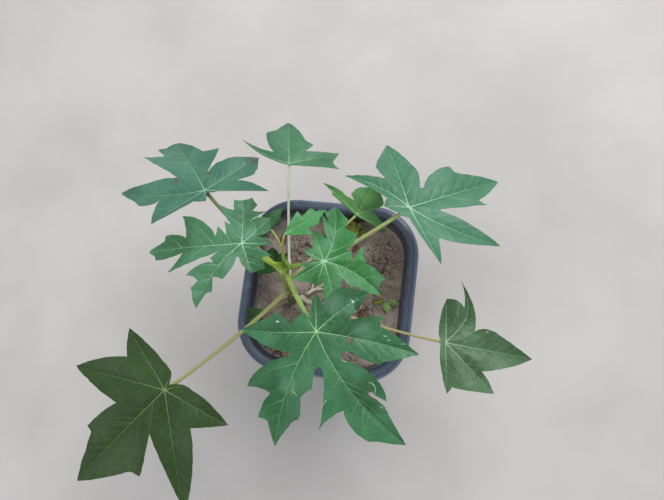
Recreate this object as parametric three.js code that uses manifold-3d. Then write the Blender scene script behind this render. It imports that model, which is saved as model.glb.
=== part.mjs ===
// Young papaya plant in a square pot with round corners. Sizes in millimetres, +Z up.
// The origin is the centre of the pot's flat underside, and the pot's sides run along X and Y.
import * as THREE from "three";
import { mergeVertices } from "three/addons/utils/BufferGeometryUtils.js";
import Module from "manifold-3d";

const wasm = await Module();
wasm.setup();

// Clearance between pieces that touch on the real plant
const GAP = 0.3;

// Pot
const POT_HEIGHT = 170;
const RIM_HALF = 102.5;
const RIM_CORNER = 58;
const LIP_WIDTH = 14;
const LIP_DEPTH = 15;
const WALL_TOP_HALF = 93;
const WALL_TOP_CORNER = 48;
const BASE_HALF = 76;
const BASE_CORNER = 40;
const WALL = 3.6;
const FLOOR = 4;
const LEDGE_DROP = 20;
const LEDGE_STEP = 1.6;
const CORNER_STEPS = 6;

// Soil
const SOIL_LEVEL = 145;

// Stem: soft green trunk with a small flare at the soil
const STEM_FOOT = [-43, -18];
const STEM_TOP = [-24, 13];
const STEM_TOP_HEIGHT = 266;
const STEM_FOOT_RADIUS = 6.4;
const STEM_LOW_RADIUS = 4.6;
const STEM_TOP_RADIUS = 3.1;
const STEM_BEND = 3;
const STEM_SIDES = 14;
const STEM_RINGS = 12;

// Leaf stalks
const STALK_SIDES = 8;
const STALK_RINGS = 9;

// Leaves. Each blade has a hub where its stalk arrives, a heading (degrees from +X), a pitch (tip down),
// a bank (left half up), a fold (rise of the blade away from its veins) and a sag (droop of its tips).
// lobes: [angle, length, right bulge, left bulge, bend, power of the bend], counterclockwise from the stalk
// clefts: [angle, distance from the hub, half width], between neighbouring lobes
// teeth: [lobe, side, tip along, tip out, notch along, notch out, bulge], in parts of the lobe's length
// stalk: height of its joint on the stem, joint radius, hub radius, lift and sideways bow of its middle
const LEAVES = {
  front: {
    hub: [23, -45, 305], heading: -63, pitch: 3, bank: 6, fold: 0.1, sag: 0.08, notch: 9, thick: 2.2,
    stalk: { height: 253, joint: 2.9, end: 2.3, lift: 7, bow: -2 },
    lobes: [
      [-166, 21, 0.04, 0.05, 0],
      [-106, 74, 0.02, 0.02, -0.08],
      [-57, 110, 0, 0, 0.26],
      [1, 117, -0.02, 0.02, 0.31],
      [64, 90, 0.02, 0.04, -0.1],
      [115, 58, 0.05, 0.08, -0.16],
      [161, 34, 0.05, 0.11, 0],
    ],
    clefts: [[-126, 24, 0], [-71, 32, 2.2], [-17, 33, 3.8], [33, 33, 5.6], [89, 29, 0], [143, 25, 0]],
    teeth: [
      [1, -1, 0.5, 0.26, 0.56, 0.19, 0.06],
      [1, 1, 0.75, 0.12, 0.77, 0.1, 0.03],
      [2, -1, 0.72, 0.34, 0.64, 0.12, 0.09],
      [2, -1, 0.87, 0.18, 0.85, 0.09, 0.05],
      [2, 1, 0.39, 0.2, 0.51, 0.14, 0.04],
      [2, 1, 0.66, 0.18, 0.72, 0.13, 0.1],
      [3, -1, 0.68, 0.39, 0.61, 0.13, -0.06],
      [3, -1, 0.88, 0.17, 0.89, 0.14, 0.1],
      [3, 1, 0.65, 0.18, 0.56, 0.12, 0.25],
      [3, 1, 0.68, 0.14, 0.7, 0.13, 0.02],
      [4, -1, 0.65, 0.19, 0.71, 0.14, 0.05],
      [4, 1, 0.65, 0.27, 0.62, 0.17, 0.04],
      [5, 1, 0.72, 0.3, 0.77, 0.25, 0.05],
    ],
  },
  lower_left: {
    hub: [-146, -130, 235], heading: -126, pitch: 2, bank: 2, fold: 0.08, sag: 0.1, notch: 6, thick: 2.4,
    stalk: { height: 182, joint: 2.7, end: 2.1, lift: 4, bow: 8 },
    lobes: [
      [-156, 20, 0.1, 0.05, 0],
      [-100, 82, 0.05, 0.01, 0],
      [-58, 121, 0.05, 0.02, 0],
      [-5, 153, 0, 0.02, 0],
      [53, 126, 0, 0.09, 0],
      [107, 79, 0.01, 0.07, 0],
      [150, 21, 0.05, 0.08, 0],
    ],
    clefts: [[-134, 30, 0], [-83, 58, 0], [-32, 58, 0], [25, 46, 0], [84, 49, 0], [134, 34, 0]],
    teeth: [
      [3, -1, 0.63, 0.21, 0.63, 0.16, 0.04],
      [3, 1, 0.51, 0.32, 0.56, 0.24, 0.03],
    ],
  },
  right: {
    hub: [138, -42, 235], heading: 5, pitch: 5, bank: -12, fold: 0.12, sag: 0.12, notch: 5, thick: 1.6,
    stalk: { height: 170, joint: 1.8, end: 1.3, lift: 13, bow: -9 },
    lobes: [
      [-90, 48, 0.06, 0.02, 0],
      [-46, 64, 0.04, 0.03, 0],
      [-8, 85, 0.06, 0, 0],
      [46, 60, 0.03, 0.09, 0.55, 4],
      [86, 45, 0.17, 0.1, 0],
    ],
    clefts: [[-83, 42, 0], [-37, 42, 0], [23, 30, 0], [61, 40, 0]],
    teeth: [[2, 1, 0.47, 0.23, 0.52, 0.22, 0.1]],
  },
  upper_right: {
    hub: [90, 83, 262], heading: 40, pitch: 20, bank: -10, fold: 0.1, sag: 0.12, notch: 12, thick: 1.9,
    stalk: { height: 219, joint: 2.5, end: 1.9, lift: 1, bow: -6 },
    lobes: [
      [-99, 64, 0.02, 0.02, 0],
      [-68, 92, 0.06, 0.07, 0.23],
      [-11, 107, 0.05, 0, 0],
      [67, 85, 0.02, 0, 0],
      [96, 71, 0.03, 0.06, 0.3],
      [139, 24, 0.08, 0.1, 0],
    ],
    clefts: [[-85, 44, 1.7], [-39, 31, 1.2], [26, 27, 2.2], [89, 38, 0], [121, 23, 0]],
    teeth: [
      [0, -1, 0.09, 0.2, 0.16, 0.09, 0],
      [2, 1, 0.56, 0.26, 0.58, 0.19, 0.15],
      [2, -1, 0.7, 0.23, 0.64, 0.16, 0],
      [3, -1, 0.46, 0.22, 0.5, 0.21, 0.05],
      [3, 1, 0.62, 0.25, 0.68, 0.22, 0.03],
    ],
  },
  top: {
    hub: [-36, 118, 262], heading: 96, pitch: 24, bank: 5, fold: 0.12, sag: 0.12, notch: 2, thick: 1.4,
    stalk: { height: 162, joint: 1.7, end: 1.3, lift: 8, bow: 1 },
    lobes: [
      [-68, 54, 0.02, -0.02, 0],
      [8, 68, 0.03, 0.03, 0],
      [70, 69, -0.02, 0.03, -0.28],
    ],
    clefts: [[-42, 23, 0], [49, 22, 0]],
    teeth: [
      [0, -1, 0.86, 0.46, 0.8, 0.24, 0],
      [1, -1, 0.34, 0.38, 0.47, 0.25, 0.02],
      [1, 1, 0.69, 0.34, 0.77, 0.17, 0.1],
    ],
  },
  upper_left: {
    hub: [-123, 83, 262], heading: 131, pitch: 26, bank: 14, fold: 0.12, sag: 0.12, notch: 5, thick: 2,
    stalk: { height: 232, joint: 2.5, end: 1.9, lift: -5, bow: 4 },
    lobes: [
      [-122, 69, 0.01, 0.03, 0],
      [-75, 70, 0.02, 0.03, 0],
      [3, 121, 0.02, 0.02, 0],
      [67, 110, 0.06, 0.03, -0.3],
      [95, 65, 0.02, 0.06, 0],
      [166, 15, 0.08, 0.08, 0],
    ],
    clefts: [[-101, 35, 0], [-25, 28, 1.5], [31, 40, 0], [71, 49, 0], [124, 19, 0]],
    teeth: [
      [0, -1, 0.16, 0.05, 0.25, 0.01, 0.03],
      [1, -1, 0.7, 0.36, 0.8, 0.3, 0.05],
      [1, 1, 0.54, 0.3, 0.57, 0.29, 0.12],
      [2, -1, 0.43, 0.3, 0.51, 0.16, 0.03],
      [2, 1, 0.91, 0.35, 0.76, 0.17, 0.01],
      [2, 1, 0.96, 0.2, 0.93, 0.11, 0.02],
      [3, 1, 0.67, 0.19, 0.82, 0.1, 0.12],
    ],
  },
  left: {
    hub: [-60, 27, 298], heading: 159, pitch: 11.8, bank: 12.4, fold: 0.12, sag: 0.1, notch: 10, thick: 1.6,
    stalk: { height: 257, joint: 2.7, end: 2.1, lift: 12, bow: 4 },
    lobes: [
      [-152, 30, 0.03, 0.06, 0],
      [-104, 37, 0.03, 0.03, 0],
      [-54, 50, 0.02, 0.03, 0],
      [28, 107, 0.03, 0.05, 0],
      [63, 67, 0.05, 0.08, 0.43],
      [143, 32, 0.12, 0.1, 0],
    ],
    clefts: [[-124, 15, 0], [-58, 19, 0], [1, 19, 0], [47, 21, 0], [114, 15, 1.6]],
    teeth: [
      [1, -1, 0.77, 0.37, 0.89, 0.14, 0.06],
      [1, 1, 0.77, 0.25, 0.82, 0.18, 0.02],
      [2, -1, 0.61, 0.48, 0.67, 0.21, -0.03],
      [2, -1, 0.79, 0.32, 0.87, 0.26, 0.06],
      [2, -1, 0.97, 0.21, 0.96, 0.11, 0.02],
      [2, 1, 0.53, 0.36, 0.45, 0.23, -0.03],
      [2, 1, 0.96, 0.5, 0.77, 0.17, 0.02],
      [2, 1, 1.02, 0.19, 0.98, 0.09, 0.03],
      [3, -1, 0.26, 0.17, 0.27, 0.08, 0.03],
      [3, -1, 0.65, 0.3, 0.57, 0.08, 0.12],
      [3, -1, 0.81, 0.13, 0.82, 0.07, 0.08],
      [3, 1, 0.68, 0.26, 0.57, 0.06, 0.01],
      [3, 1, 0.87, 0.11, 0.91, 0.05, 0.06],
      [4, -1, 0.49, 0.17, 0.48, 0.09, 0],
      [4, -1, 0.9, 0.39, 0.79, 0.14, 0.05],
      [4, -1, 0.92, 0.2, 0.93, 0.16, 0.05],
      [4, 1, 0.47, 0.25, 0.59, 0.05, 0.16],
      [4, 1, 0.68, 0.22, 0.8, 0.09, 0.1],
      [5, 1, 0.83, 0.73, 0.77, 0.43, 0.08],
      [5, 1, 1.12, 0.41, 1.05, 0.17, 0.1],
    ],
  },
  middle: {
    hub: [19, 19, 290], heading: 10, pitch: 6, bank: 4, fold: 0.16, sag: 0.12, notch: 4, thick: 1.4,
    stalk: { height: 259, joint: 2.1, end: 1.6, lift: 5, bow: 1 },
    lobes: [
      [-178, 23, 0.08, 0.06, 0],
      [-154, 33, 0.06, 0.05, 0],
      [-111, 23, 0.06, 0.06, 0],
      [-78, 41, 0.04, 0.04, 0],
      [-12, 60, 0.06, 0.03, -0.41],
      [18, 27, 0.01, 0.06, 0],
      [53, 49, 0.05, 0.04, 0.42],
      [105, 32, 0.05, 0.05, 0],
      [147, 22, 0.06, 0.08, 0],
    ],
    clefts: [
      [-163, 17, 0],
      [-131, 23, 0],
      [-93, 15, 0],
      [-48, 24, 1.6],
      [-9, 27, 0],
      [29, 21, 0],
      [80, 21, 0],
      [130, 14, 0],
    ],
    teeth: [
      [3, -1, 0.92, 0.24, 0.79, 0.05, 0.03],
      [4, -1, 0.49, 0.24, 0.54, 0.18, 0.05],
      [4, 1, 0.56, 0.44, 0.65, 0.24, 0.08],
      [4, 1, 0.98, 0.27, 0.89, 0.05, 0.06],
      [6, -1, 0.79, 0.49, 0.76, 0.22, 0.08],
      [6, -1, 0.93, 0.28, 0.96, 0.15, 0.05],
      [6, 1, 0.74, 0.34, 0.67, 0.12, 0.04],
      [6, 1, 0.82, 0.28, 0.86, 0.15, 0.05],
      [8, -1, 0.82, 0.22, 0.86, 0.13, 0.03],
    ],
  },
  low_back: {
    hub: [36, 77, 235], heading: 76, pitch: 25, bank: 10, fold: 0.12, sag: 0.12, notch: 2, thick: 1,
    stalk: { height: 204, joint: 1.8, end: 1.3, lift: 6, bow: 0 },
    lobes: [
      [-94, 35, 0.03, 0.06, 0],
      [-39, 34, 0.05, 0.08, 0],
      [-2, 42, 0.06, 0.03, 0],
      [63, 53, 0.04, 0.02, 0],
    ],
    clefts: [[-43, 16, 0], [-24, 38, 0], [30, 16, 0]],
    teeth: [
      [2, 1, 0.48, 0.37, 0.64, 0.34, 0.04],
      [2, 1, 0.81, 0.24, 0.86, 0.17, 0.01],
      [3, 1, 0.66, 0.09, 0.71, 0.02, 0.02],
      [3, -1, 0.48, 0.1, 0.55, 0.11, -0.02],
    ],
  },
  young: {
    hub: [-17, 38, 308], heading: 55, pitch: 8, bank: -6, fold: 0.2, sag: 0.1, notch: 1, thick: 1,
    stalk: { height: 260, joint: 1.5, end: 1.1, lift: -4, bow: 7 },
    lobes: [
      [-14, 43.6, 0.06, 0.05, 0],
    ],
    clefts: [],
    teeth: [
      [0, -1, 0.49, 0.38, 0.49, 0.19, 0],
      [0, -1, 0.74, 0.23, 0.84, 0.12, 0.03],
      [0, 1, 0.5, 0.26, 0.52, 0.11, 0.02],
      [0, 1, 0.78, 0.16, 0.82, 0.06, 0.08],
    ],
  },
  small_back: {
    hub: [-42, 47, 276], heading: 66.5, pitch: 0, bank: 0, fold: 0.2, sag: 0.1, notch: 1, thick: 1,
    stalk: { height: 257, joint: 1.2, end: 0.9, lift: 8, bow: -10 },
    lobes: [
      [0, 24.3, 0.02, 0.02, 0],
      [61, 15.7, 0.03, 0.05, 0],
    ],
    clefts: [[29.4, 15.4, 0]],
    teeth: [
      [0, -1, 0.55, 0.21, 0.63, 0.13, 0.02],
      [1, 1, 0.9, 0.29, 0.96, 0.14, 0.1],
    ],
  },
  low_front: {
    hub: [-70, -36, 181], heading: -140, pitch: 6, bank: 0, fold: 0.12, sag: 0.15, notch: 3, thick: 0.8,
    stalk: { height: 156, joint: 1.3, end: 0.9, lift: 4, bow: 0 },
    lobes: [
      [-42, 21, 0.08, 0.08, 0],
      [-1, 23, 0.08, 0.08, 0],
      [63, 15, 0.08, 0.08, 0],
    ],
    clefts: [[-20, 13, 0], [22, 12, 0]],
    teeth: [],
  },
  low_shade: {
    hub: [-60, 14, 185], heading: 150, pitch: 5, bank: 0, fold: 0.12, sag: 0.15, notch: 3, thick: 0.8,
    stalk: { height: 174, joint: 1.4, end: 1, lift: 2, bow: 0 },
    lobes: [
      [-95, 24, 0.1, 0.1, 0],
      [-45, 27, 0.1, 0.1, 0],
      [0, 27, 0.1, 0.1, 0],
      [50, 22, 0.1, 0.1, 0],
    ],
    clefts: [[-68, 18, 0], [-20, 22, 0], [25, 19, 0]],
    teeth: [],
  },
};

// Points taken along each edge of a lobe, and along its vein
const EDGE_STEPS = 4;
const BACK_STEPS = 2;
const VEIN_STEPS = 4;
const VEIN_BEND = 0.015;

// Apex: folded leaves at the growing tip
const APEX_TIPS = [
  { heading: 40, lean: 12, length: 15, width: 2.6 },
  { heading: 165, lean: 34, length: 12, width: 2.2 },
  { heading: 285, lean: 40, length: 11, width: 2.2 },
];

// Litter lying on the soil
const STUB = { from: [-33, -13], to: [-21.4, -19.4], radius: 2.6 };
const TWIG = { from: [-25.5, -8.5], to: [-6, 5.5], radius: 1.4 };

// Colours
const COLOURS = {
  leaf: 0x4f8a63,
  darkLeaf: 0x3d5f39,
  paleLeaf: 0x5da372,
  stalk: 0x8fa552,
  paleStalk: 0xb4bc98,
  stem: 0x7a7f45,
  pot: 0x3a4654,
  soil: 0x6b625c,
  litter: 0xb9ab8d,
};

function material(colour, roughness) {
  return new THREE.MeshStandardMaterial({ color: colour, roughness, metalness: 0 });
}

// Closed geometry from shared vertices and triangles
function closedGeometry(vertices, triangles) {
  const geometry = new THREE.BufferGeometry();
  geometry.setAttribute("position", new THREE.Float32BufferAttribute(vertices.flat(), 3));
  geometry.setIndex(triangles.flat());
  return geometry;
}

function toManifold(geometry) {
  const bare = geometry.clone();
  bare.deleteAttribute("normal");
  bare.deleteAttribute("uv");
  const welded = mergeVertices(bare, 1e-4);
  return new wasm.Manifold(new wasm.Mesh({
    numProp: 3,
    vertProperties: new Float32Array(welded.attributes.position.array),
    triVerts: new Uint32Array(welded.index.array),
  }));
}

function fromManifold(solid) {
  const mesh = solid.getMesh();
  const geometry = new THREE.BufferGeometry();
  geometry.setAttribute("position", new THREE.Float32BufferAttribute(mesh.vertProperties, 3));
  geometry.setIndex(new THREE.Uint32BufferAttribute(mesh.triVerts, 1));
  return geometry;
}

function finish(geometry, name, mat) {
  const faceted = geometry.toNonIndexed();
  faceted.computeVertexNormals();
  const mesh = new THREE.Mesh(faceted, mat);
  mesh.name = name;
  return mesh;
}

// Square with round corners, counterclockwise from the +X side
function roundedSquare(half, corner, z) {
  const ring = [];
  const centre = half - corner;
  for (let quarter = 0; quarter < 4; quarter += 1) {
    const turnBy = quarter * Math.PI / 2;
    const cx = centre * Math.SQRT2 * Math.cos(turnBy + Math.PI / 4);
    const cy = centre * Math.SQRT2 * Math.sin(turnBy + Math.PI / 4);
    for (let step = 0; step <= CORNER_STEPS; step += 1) {
      const angle = turnBy + (step / CORNER_STEPS) * Math.PI / 2;
      ring.push([cx + corner * Math.cos(angle), cy + corner * Math.sin(angle), z]);
    }
  }
  return ring;
}

// Solid between stacked rings with the same number of points, its two ends capped
function loft(rings) {
  const count = rings[0].length;
  const vertices = rings.flat();
  const triangles = [];
  for (let level = 0; level + 1 < rings.length; level += 1) {
    for (let k = 0; k < count; k += 1) {
      const next = (k + 1) % count;
      const a = level * count + k;
      const b = level * count + next;
      const c = a + count;
      const d = b + count;
      triangles.push([a, b, d], [a, d, c]);
    }
  }
  const middle = (ring) => [0, 1, 2].map((axis) => ring.reduce((sum, p) => sum + p[axis], 0) / count);
  const low = vertices.length;
  const high = low + 1;
  vertices.push(middle(rings[0]), middle(rings[rings.length - 1]));
  const top = (rings.length - 1) * count;
  for (let k = 0; k < count; k += 1) {
    const next = (k + 1) % count;
    triangles.push([low, next, k], [high, top + k, top + next]);
  }
  return closedGeometry(vertices, triangles);
}

// Half width and corner radius of the pot's outer wall at height z
function wallAt(z) {
  const t = z / (POT_HEIGHT - LIP_DEPTH);
  return {
    half: BASE_HALF + (WALL_TOP_HALF - BASE_HALF) * t,
    corner: BASE_CORNER + (WALL_TOP_CORNER - BASE_CORNER) * t,
  };
}

function ringOfWall(z, inset) {
  const wall = wallAt(z);
  return roundedSquare(wall.half - inset, wall.corner - inset, z);
}

function ringOfRim(z, inset) {
  return roundedSquare(RIM_HALF - inset, RIM_CORNER - inset, z);
}

// Pot: outer wall, hanging lip, rounded rim, inner ledge, inner wall and floor as one closed loft
function pot() {
  const ledge = POT_HEIGHT - LEDGE_DROP;
  const innerTop = LIP_WIDTH;
  const rings = [
    ringOfWall(0, 1.5),
    ringOfWall(1.5, 0),
    ringOfWall(POT_HEIGHT - LIP_DEPTH, 0),
    ringOfRim(POT_HEIGHT - LIP_DEPTH, 1.5),
    ringOfRim(POT_HEIGHT - LIP_DEPTH + 2, 0),
    ringOfRim(POT_HEIGHT - 5, 0.2),
    ringOfRim(POT_HEIGHT - 1.6, 2),
    ringOfRim(POT_HEIGHT, 5.5),
    ringOfRim(POT_HEIGHT - 0.4, 9),
    ringOfRim(POT_HEIGHT - 3, 12.5),
    ringOfRim(POT_HEIGHT - 7, innerTop),
    ringOfRim(ledge, innerTop + 0.5),
    ringOfRim(ledge - 2, innerTop + 0.5 + LEDGE_STEP),
    ringOfWall(FLOOR + 6, WALL),
    ringOfWall(FLOOR, WALL + 4),
  ];
  return loft(rings);
}

// Soil: flat topped block, clear of the pot's inner wall by the gap
function soil() {
  const ledge = POT_HEIGHT - LEDGE_DROP;
  const inset = LIP_WIDTH + 0.5 + LEDGE_STEP;
  const upper = roundedSquare(RIM_HALF - inset, RIM_CORNER - inset, ledge - 2);
  const lower = ringOfWall(FLOOR + 6, WALL);
  const share = (SOIL_LEVEL - FLOOR - 6) / (ledge - 2 - FLOOR - 6);
  const level = upper.map((p, k) => [
    lower[k][0] + (p[0] - lower[k][0]) * share,
    lower[k][1] + (p[1] - lower[k][1]) * share,
    SOIL_LEVEL,
  ]);
  const shrink = (ring, by, z) => ring.map(([x, y]) => {
    const far = Math.hypot(x, y);
    return [x * (far - by) / far, y * (far - by) / far, z];
  });
  return loft([
    shrink(ringOfWall(FLOOR, WALL + 4), 0.5, FLOOR + GAP),
    shrink(lower, 0.5, FLOOR + 6 + GAP),
    shrink(level, 0.5, SOIL_LEVEL),
  ]);
}

// Middle line of the stem, from t = 0 at the soil to t = 1 at the growing tip
function stemPoint(t) {
  const bend = STEM_BEND * 4 * t * (1 - t);
  return [
    STEM_FOOT[0] + (STEM_TOP[0] - STEM_FOOT[0]) * t - bend,
    STEM_FOOT[1] + (STEM_TOP[1] - STEM_FOOT[1]) * t + bend * 0.4,
    SOIL_LEVEL + GAP + (STEM_TOP_HEIGHT - SOIL_LEVEL - GAP) * t,
  ];
}

function stemRadius(t) {
  const flare = (STEM_FOOT_RADIUS - STEM_LOW_RADIUS) * Math.exp(-t / 0.06);
  return STEM_LOW_RADIUS + (STEM_TOP_RADIUS - STEM_LOW_RADIUS) * t + flare;
}

function stem(grow) {
  const rings = [];
  for (let level = 0; level <= STEM_RINGS; level += 1) {
    const t = (level / STEM_RINGS) ** 1.4;
    const [x, y, z] = stemPoint(t);
    const radius = stemRadius(t) + grow;
    const lift = level === 0 ? -grow : level === STEM_RINGS ? grow : 0;
    const ring = [];
    for (let k = 0; k < STEM_SIDES; k += 1) {
      const angle = 2 * Math.PI * k / STEM_SIDES;
      ring.push([x + radius * Math.cos(angle), y + radius * Math.sin(angle), z + lift]);
    }
    rings.push(ring);
  }
  return loft(rings);
}

// Round bar along a list of points, with a radius at each
function bar(points, radii, sides) {
  const line = points.map((p) => new THREE.Vector3(...p));
  const rings = [];
  let across = new THREE.Vector3(0, 0, 1);
  line.forEach((p, k) => {
    const before = line[Math.max(0, k - 1)];
    const after = line[Math.min(line.length - 1, k + 1)];
    const along = after.clone().sub(before).normalize();
    if (k === 0 && Math.abs(along.z) > 0.9) across = new THREE.Vector3(1, 0, 0);
    across = across.clone().sub(along.clone().multiplyScalar(across.dot(along))).normalize();
    const other = along.clone().cross(across);
    const ring = [];
    for (let s = 0; s < sides; s += 1) {
      const angle = 2 * Math.PI * s / sides;
      const out = across.clone().multiplyScalar(Math.cos(angle)).add(other.clone().multiplyScalar(Math.sin(angle)));
      ring.push(p.clone().add(out.multiplyScalar(radii[k])).toArray());
    }
    rings.push(ring);
  });
  return loft(rings);
}

function turned([x, y], degrees) {
  const a = degrees * Math.PI / 180;
  return [x * Math.cos(a) - y * Math.sin(a), x * Math.sin(a) + y * Math.cos(a)];
}

function cubic(a, b, c, d, steps) {
  const out = [];
  for (let k = 0; k < steps; k += 1) {
    const t = k / steps;
    const w = [(1 - t) ** 3, 3 * t * (1 - t) ** 2, 3 * t * t * (1 - t), t ** 3];
    out.push([0, 1].map((i) => w[0] * a[i] + w[1] * b[i] + w[2] * c[i] + w[3] * d[i]));
  }
  return out;
}

// Point at a share along the straight step from a to b, moved out of it by a share of its length
function off(a, b, share, out, sign) {
  const dx = b[0] - a[0];
  const dy = b[1] - a[1];
  return [a[0] + share * dx - out * dy * sign, a[1] + share * dy + out * dx * sign];
}

// One edge of a lobe lying along +X, from its cleft to just before its tip
function lobeEdge(start, teeth, tip, bulge, sign) {
  const out = [];
  let here = start;
  for (const [tx, ty, nx, ny, swell] of teeth) {
    const peak = [tx, ty];
    const notch = [nx, ny];
    const puff = 1.35 * swell;
    out.push(...cubic(here, off(here, peak, 0.25, puff, sign), off(here, peak, 0.75, puff, sign), peak, EDGE_STEPS));
    out.push(...cubic(peak, off(peak, notch, 0.35, -0.08, sign), off(peak, notch, 0.75, -0.1, sign), notch, BACK_STEPS));
    here = notch;
  }
  const puff = 1.35 * bulge;
  out.push(...cubic(here, off(here, tip, 0.25, puff, sign), off(here, tip, 0.7, 0.8 * puff, sign), tip, EDGE_STEPS));
  return out;
}

// Sideways offset of a lobe's vein at a distance from the hub; a straight vein still bends a little
function veinOffset(x, length, bend, power = 2) {
  return (bend || VEIN_BEND) * length * (Math.max(0, x) / length) ** power;
}

// Lobes of a blade in its plane: for each its vein, its two edges from the clefts, and its tip
function bladeLobes(leaf) {
  const base = [-leaf.notch, 0];
  const last = leaf.lobes.length - 1;
  return leaf.lobes.map(([angle, length, right, left, bend, power], i) => {
    const bent = ([x, y]) => [x, y + veinOffset(x, length, bend, power)];
    const straight = ([x, y]) => [x, y - veinOffset(x, length, bend, power)];
    const corner = (index, way) => {
      const [at, far, half] = leaf.clefts[index];
      return turned([far, half * way], at);
    };
    const starts = [i > 0 ? corner(i - 1, 1) : base, i < last ? corner(i, -1) : base];
    const edges = [-1, 1].map((sign, which) => {
      const rows = leaf.teeth.filter((row) => row[0] === i && row[1] === sign);
      const scaled = rows.map(([, , tx, ty, nx, ny, swell]) => (
        [tx * length, sign * ty * length, nx * length, sign * ny * length, swell]));
      const start = straight(turned(starts[which], -angle));
      const edge = lobeEdge(start, scaled, [length, 0], which === 0 ? right : left, sign);
      return [starts[which], ...edge.slice(1).map((p) => turned(bent(p), angle))];
    });
    const vein = [];
    for (let k = 1; k < VEIN_STEPS + 1; k += 1) {
      vein.push(turned(bent([length * k / (VEIN_STEPS + 1), 0]), angle));
    }
    return { vein, right: edges[0], left: edges[1], tip: turned(bent([length, 0]), angle) };
  });
}

// Height of the blade over its plane
function bladeRise(leaf, [x, y]) {
  const reach = Math.max(...leaf.lobes.map((row) => row[1]));
  let away = Infinity;
  for (const [angle, length, , , bend, power] of leaf.lobes) {
    const [qx, qy] = turned([x, y], -angle);
    const along = Math.min(Math.max(qx, 0), length);
    const line = veinOffset(along, length, bend, power);
    away = Math.min(away, Math.hypot(qx - along, qy - line));
  }
  return leaf.fold * away - leaf.sag * (x * x + y * y) / reach;
}

// Directions of a blade: along its heading, to its left, and out of its upper face
function bladeAxes(leaf) {
  const rad = Math.PI / 180;
  const heading = leaf.heading * rad;
  const pitch = leaf.pitch * rad;
  const bank = leaf.bank * rad;
  const along = new THREE.Vector3(
    Math.cos(heading) * Math.cos(pitch),
    Math.sin(heading) * Math.cos(pitch),
    -Math.sin(pitch),
  );
  const level = new THREE.Vector3(-Math.sin(heading), Math.cos(heading), 0);
  const out = along.clone().cross(level);
  const left = level.multiplyScalar(Math.cos(bank)).add(out.multiplyScalar(Math.sin(bank)));
  return { along, left, up: along.clone().cross(left) };
}

// Thin blade of a leaf, its outline cut to the lobes, with a valley along each main vein
function blade(leaf) {
  const axes = bladeAxes(leaf);
  const flat = [];
  const found = new Map();
  const index = (p) => {
    const key = `${Math.round(p[0] * 1000)} ${Math.round(p[1] * 1000)}`;
    if (!found.has(key)) {
      found.set(key, flat.length);
      flat.push(p);
    }
    return found.get(key);
  };
  const faces = [];
  const addPolygon = (polygon) => {
    const corners = polygon.map(index);
    const contour = polygon.map(([x, y]) => new THREE.Vector2(x, y));
    for (const [a, b, c] of THREE.ShapeUtils.triangulateShape(contour, [])) {
      const area = (contour[b].x - contour[a].x) * (contour[c].y - contour[a].y)
        - (contour[c].x - contour[a].x) * (contour[b].y - contour[a].y);
      faces.push(area > 0 ? [corners[a], corners[b], corners[c]] : [corners[a], corners[c], corners[b]]);
    }
  };
  const hub = [0, 0];
  const rim = [];
  const lobes = bladeLobes(leaf);
  lobes.forEach((lobe, i) => {
    addPolygon([hub, ...lobe.vein, lobe.tip, ...lobe.right.slice().reverse()]);
    addPolygon([hub, ...lobe.vein, lobe.tip, ...lobe.left.slice().reverse()]);
    rim.push(...lobe.right, lobe.tip, ...lobe.left.slice().reverse());
    if (i + 1 < lobes.length && leaf.clefts[i][2] > 0) {
      const [at, far, half] = leaf.clefts[i];
      const bottom = turned([far - 0.8 * half, 0], at);
      addPolygon([hub, lobe.left[0], bottom]);
      addPolygon([hub, bottom, lobes[i + 1].right[0]]);
      rim.push(bottom);
    }
  });
  const border = rim.map(index).filter((v, k, all) => v !== all[(k + 1) % all.length]);
  const origin = new THREE.Vector3(...leaf.hub);
  const raise = (p, by) => origin.clone()
    .addScaledVector(axes.along, p[0])
    .addScaledVector(axes.left, p[1])
    .addScaledVector(axes.up, bladeRise(leaf, p) + by)
    .toArray();
  const count = flat.length;
  const vertices = [
    ...flat.map((p) => raise(p, leaf.thick / 2)),
    ...flat.map((p) => raise(p, -leaf.thick / 2)),
  ];
  const triangles = [];
  for (const [a, b, c] of faces) {
    triangles.push([a, b, c], [a + count, c + count, b + count]);
  }
  border.forEach((a, k) => {
    const b = border[(k + 1) % border.length];
    triangles.push([a + count, b + count, b], [a + count, b, a]);
  });
  return closedGeometry(vertices, triangles);
}

// Tapering stalk from the stem's middle line to just under the blade's hub
function stalkLine(leaf) {
  const { height, lift, bow, end } = leaf.stalk;
  const from = stemPoint((height - SOIL_LEVEL - GAP) / (STEM_TOP_HEIGHT - SOIL_LEVEL - GAP));
  const start = new THREE.Vector3(...from);
  const hub = new THREE.Vector3(...leaf.hub);
  const side = new THREE.Vector3(-(hub.y - start.y), hub.x - start.x, 0).normalize();
  const middle = start.clone().lerp(hub, 0.5);
  middle.z += lift;
  middle.addScaledVector(side, bow);
  const up = bladeAxes(leaf).up;
  const slope = up.dot(hub.clone().sub(middle).normalize());
  const depth = leaf.thick / 2 + GAP + end * Math.sqrt(1 - slope * slope) + 0.05;
  return new THREE.QuadraticBezierCurve3(start, middle, hub.addScaledVector(up, -depth));
}

function stalk(leaf, stemRoom) {
  const curve = stalkLine(leaf);
  const points = [];
  const radii = [];
  for (let k = 0; k <= STALK_RINGS; k += 1) {
    const t = k / STALK_RINGS;
    points.push(curve.getPoint(t).toArray());
    radii.push(leaf.stalk.joint + (leaf.stalk.end - leaf.stalk.joint) * Math.min(1, t * 1.6));
  }
  const whole = toManifold(bar(points, radii, STALK_SIDES));
  return fromManifold(whole.subtract(stemRoom));
}

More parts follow.
